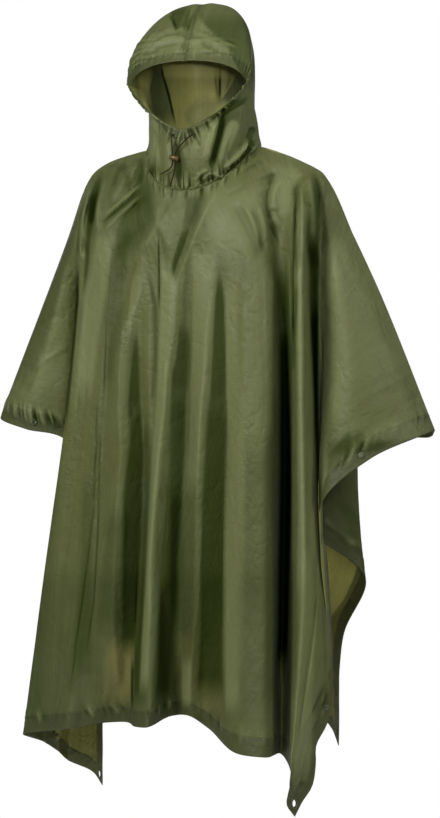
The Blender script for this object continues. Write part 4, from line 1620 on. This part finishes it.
def eyelet(node, place, out, bore, flange, look):
    """Two pressed metal leaves joined by a short tube through the cloth."""
    tube, back = bore + 0.0006, -EDGE_LAYER
    profile = (
        (bore, 0.0006), (bore + 0.0005, 0.0011), ((bore + flange) / 2, 0.0014),
        (flange - 0.0007, 0.0010), (flange, 0.0004), (flange - 0.0002, 0.0), (tube, 0.0), (tube, back),
        (flange * 0.92, back), (flange * 0.93, back - 0.0004), (flange * 0.88, back - 0.0008),
        (tube, back - 0.0009), (bore, back - 0.0005),
    )
    item = turned(node + "_metal", profile, standing_on(place, out), look)
    return stand_in(item, node)


def snap(node, place, out, look):
    item = turned(node + "_metal", SNAP_CAP, standing_on(place, out), look, closed_on_axis=True)
    return stand_in(item, node)


def toggle(look):
    lie = Matrix.Rotation(math.radians(TOGGLE_TILT), 4, "Y") @ Matrix.Rotation(math.pi / 2, 4, "Y")
    half = [(TOGGLE_RADIUS * r, TOGGLE_LENGTH / 2 * h) for r, h in TOGGLE_SHAPE]
    profile = [(r, -h) for r, h in half[:0:-1]] + half
    matrix = Matrix.Translation(TOGGLE_PLACE) @ lie
    return stand_in(turned("toggle_barrel", profile, matrix, look, closed_on_axis=True), "toggle")


def make_cord(name, route, look):
    line = smooth_curve(route, np.linspace(0, len(route) - 1, CORD_POINTS))
    curve = bpy.data.curves.new(name + "_cord", "CURVE")
    curve.dimensions = "3D"
    curve.bevel_depth = CORD_RADIUS
    curve.bevel_resolution = 3
    curve.use_fill_caps = True
    spline = curve.splines.new("POLY")
    spline.points.add(len(line) - 1)
    for point, place in zip(spline.points, line):
        point.co = (*place, 1.0)
    curve.materials.append(look)
    return stand_in(put(name + "_cord", curve), name), line


# ------------------------------------------------------------------ the garment


def make_drawcord():
    braid = braid_look("drawcord_braid")
    cords = [make_cord(name, route, braid) for name, route in CORD_ROUTES.items()]
    barrel = toggle(toggle_look("toggle_bronze"))


def make_panel(name, lines, tops, facing, looks, metal):
    grid, cut, places = panel_grid(lines, tops, facing)
    grid, small, gathers = folded_panel(name, facing, grid, cut, places)
    normal = normals_of(grid, facing)
    corners = {}
    for _, word in SIDES:
        node = f"corner_eyelet_{name}_{word}"
        corners[node] = spot_on(grid, normal, node)
    holes = [(*spot, CORNER_CLEAR, CORNER_RIM) for spot in corners.values()]
    outer_tone, inner_tone = panel_tones(name, grid)
    tones = (with_hollows(with_hollows(outer_tone, small), gathers, 0.0022, 1.25),
             with_hollows(with_hollows(inner_tone, -small), -gathers, 0.0030))
    wall = np.where(cut[:, :, 2] < HEM_WIDTH, EDGE_LAYER, LAYER)
    item = closed_cloth("cloth_" + name, grid, normal, wall, facing, cut, tones, looks, holes)
    stand_in(item, name)
    metals = [eyelet(node, *spot, CORNER_BORE, CORNER_FLANGE, metal) for node, spot in corners.items()]
    for _, word in SIDES:
        for where in SNAP_SPOTS:
            node = f"snap_{name}_{word}_{where}"
            metals.append(snap(node, *spot_on(grid, normal, node), metal))


def make_hood(side, word, looks, metal):
    grid, share, turn, to_rim, across = hood_grid(side)
    normal = normals_of(grid, -side)
    normal[:, (0, -1), 0] = 0.0
    normal /= np.linalg.norm(normal, axis=2, keepdims=True)
    detail = hood_detail(grid, share, turn, to_rim, side)
    grid = grid + normal * (CLOTH - hood_dents(share, turn, side) + detail)[:, :, None]
    grid[:, (0, -1), 0] = side * HOOD_MEET
    normal = normals_of(grid, -side)
    outer_tone, inner_tone = hood_tones(grid, side)
    tones = (with_hollows(outer_tone, detail, 0.0020, 1.25), with_hollows(inner_tone, -detail, 0.0040))
    wall = np.where(to_rim < CASING_WIDTH, EDGE_LAYER, LAYER)
    cut = np.stack([across, to_rim, to_rim], 2)
    item = closed_cloth(f"cloth_hood_{word}", grid, normal, wall, -side, cut, tones, looks)
    stand_in(item, "hood_" + word)
    node = "cord_eyelet_" + word
    ring = eyelet(node, *spot_on(grid, normal, node), CORD_BORE, CORD_FLANGE, metal)


# ------------------------------------------------------------------ stage

FLOOR_Z = -1.60
FLOOR_RADIUS = 2.1
FLOOR_SIDES = 96
ROOM_LIGHT = 0.12  # light that comes from the white room all round
ROOM_COLOUR = (0.96, 0.98, 1.0, 1.0)
# azimuth and elevation in degrees seen from the camera (+ to its right), distance, width, height, watts
LAMPS = (
    ("key", -42.0, 26.0, 3.4, 1.0, 1.9, 62.0),
    ("front", 6.0, 16.0, 4.4, 1.8, 2.0, 34.0),
    ("right", 64.0, 24.0, 3.4, 0.9, 1.8, 24.0),
    ("top", 28.0, 62.0, 3.0, 1.8, 1.8, 17.0),
    ("behind", 180.0, 14.0, 3.8, 2.2, 2.2, 44.0),
)
# a narrow lamp that reaches into the hood
FACE_LAMP = (4.0, -4.0, 1.8)  # azimuth, elevation, distance
FACE_CONE, FACE_WATTS, FACE_SOFT = 5.2, 62.0, 0.05
FACE_SPOT = (0.008, -0.060, 0.140)


def make_floor():
    """A round pale floor."""
    angles = [2 * math.pi * k / FLOOR_SIDES for k in range(FLOOR_SIDES)]
    mesh = bpy.data.meshes.new("studio_floor")
    mesh.from_pydata([(FLOOR_RADIUS * math.cos(a), FLOOR_RADIUS * math.sin(a), FLOOR_Z) for a in angles],
                     [], [tuple(range(FLOOR_SIDES))])
    mesh.materials.append(floor_look("studio_white"))
    put("studio_floor", mesh)


def make_lamp(name, kind, aim, azimuth, elevation, distance, watts):
    """A lamp that shines at a point, in degrees seen from the camera."""
    data = bpy.data.lights.new(name, kind)
    data.energy = watts
    item = put(name, data)
    a, e = math.radians(azimuth) + VIEW_TURN, math.radians(elevation)
    away = Vector((math.sin(a) * math.cos(e), -math.cos(a) * math.cos(e), math.sin(e)))
    item.location = Vector(aim) + away * distance
    item.rotation_euler = away.to_track_quat("Z", "Y").to_euler()
    return data


def make_lamps():
    for name, azimuth, elevation, distance, width, height, watts in LAMPS:
        lamp = make_lamp(name, "AREA", (0.0, 0.0, VIEW_HEIGHT), azimuth, elevation, distance, watts)
        lamp.shape = "RECTANGLE"
        lamp.size, lamp.size_y = width, height
    lamp = make_lamp("face", "SPOT", FACE_SPOT, *FACE_LAMP, FACE_WATTS)
    lamp.spot_size, lamp.spot_blend = math.radians(FACE_CONE), 0.5
    lamp.shadow_soft_size = FACE_SOFT


def make_room():
    """A dim white room that looks plain white to the camera."""
    world = bpy.data.worlds.new("studio")
    bpy.context.scene.world = world
    world.use_nodes = True
    tree = world.node_tree
    tree.nodes.clear()
    path, choice = tree.nodes.new("ShaderNodeLightPath"), tree.nodes.new("ShaderNodeMixShader")
    tree.links.new(path.outputs["Is Camera Ray"], choice.inputs[0])
    for k, (colour, strength) in enumerate(((ROOM_COLOUR, ROOM_LIGHT), ((1.0, 1.0, 1.0, 1.0), 1.0))):
        ground = tree.nodes.new("ShaderNodeBackground")
        ground.inputs[0].default_value = colour
        ground.inputs[1].default_value = strength
        tree.links.new(ground.outputs[0], choice.inputs[k + 1])
    tree.links.new(choice.outputs[0], tree.nodes.new("ShaderNodeOutputWorld").inputs[0])


def main():
    bpy.context.scene.view_settings.view_transform = "Standard"
    make_camera()
    make_drawcord()
    metal = metal_look("painted_metal")
    panel_looks = (cloth_look("ripstop_outside", OUTSIDE, STITCH_LINE),
                   cloth_look("ripstop_inside", INSIDE, STITCH_LINE))
    hood_looks = (cloth_look("hood_outside", OUTSIDE, CASING_WIDTH),
                  cloth_look("hood_inside", HOOD_INSIDE, CASING_WIDTH))
    make_panel("front", *front_lines(), -1, panel_looks, metal)
    make_panel("back", *back_lines(), 1, panel_looks, metal)
    for side, word in SIDES:
        make_hood(side, word, hood_looks, metal)
    make_floor()
    make_lamps()
    make_room()


main()
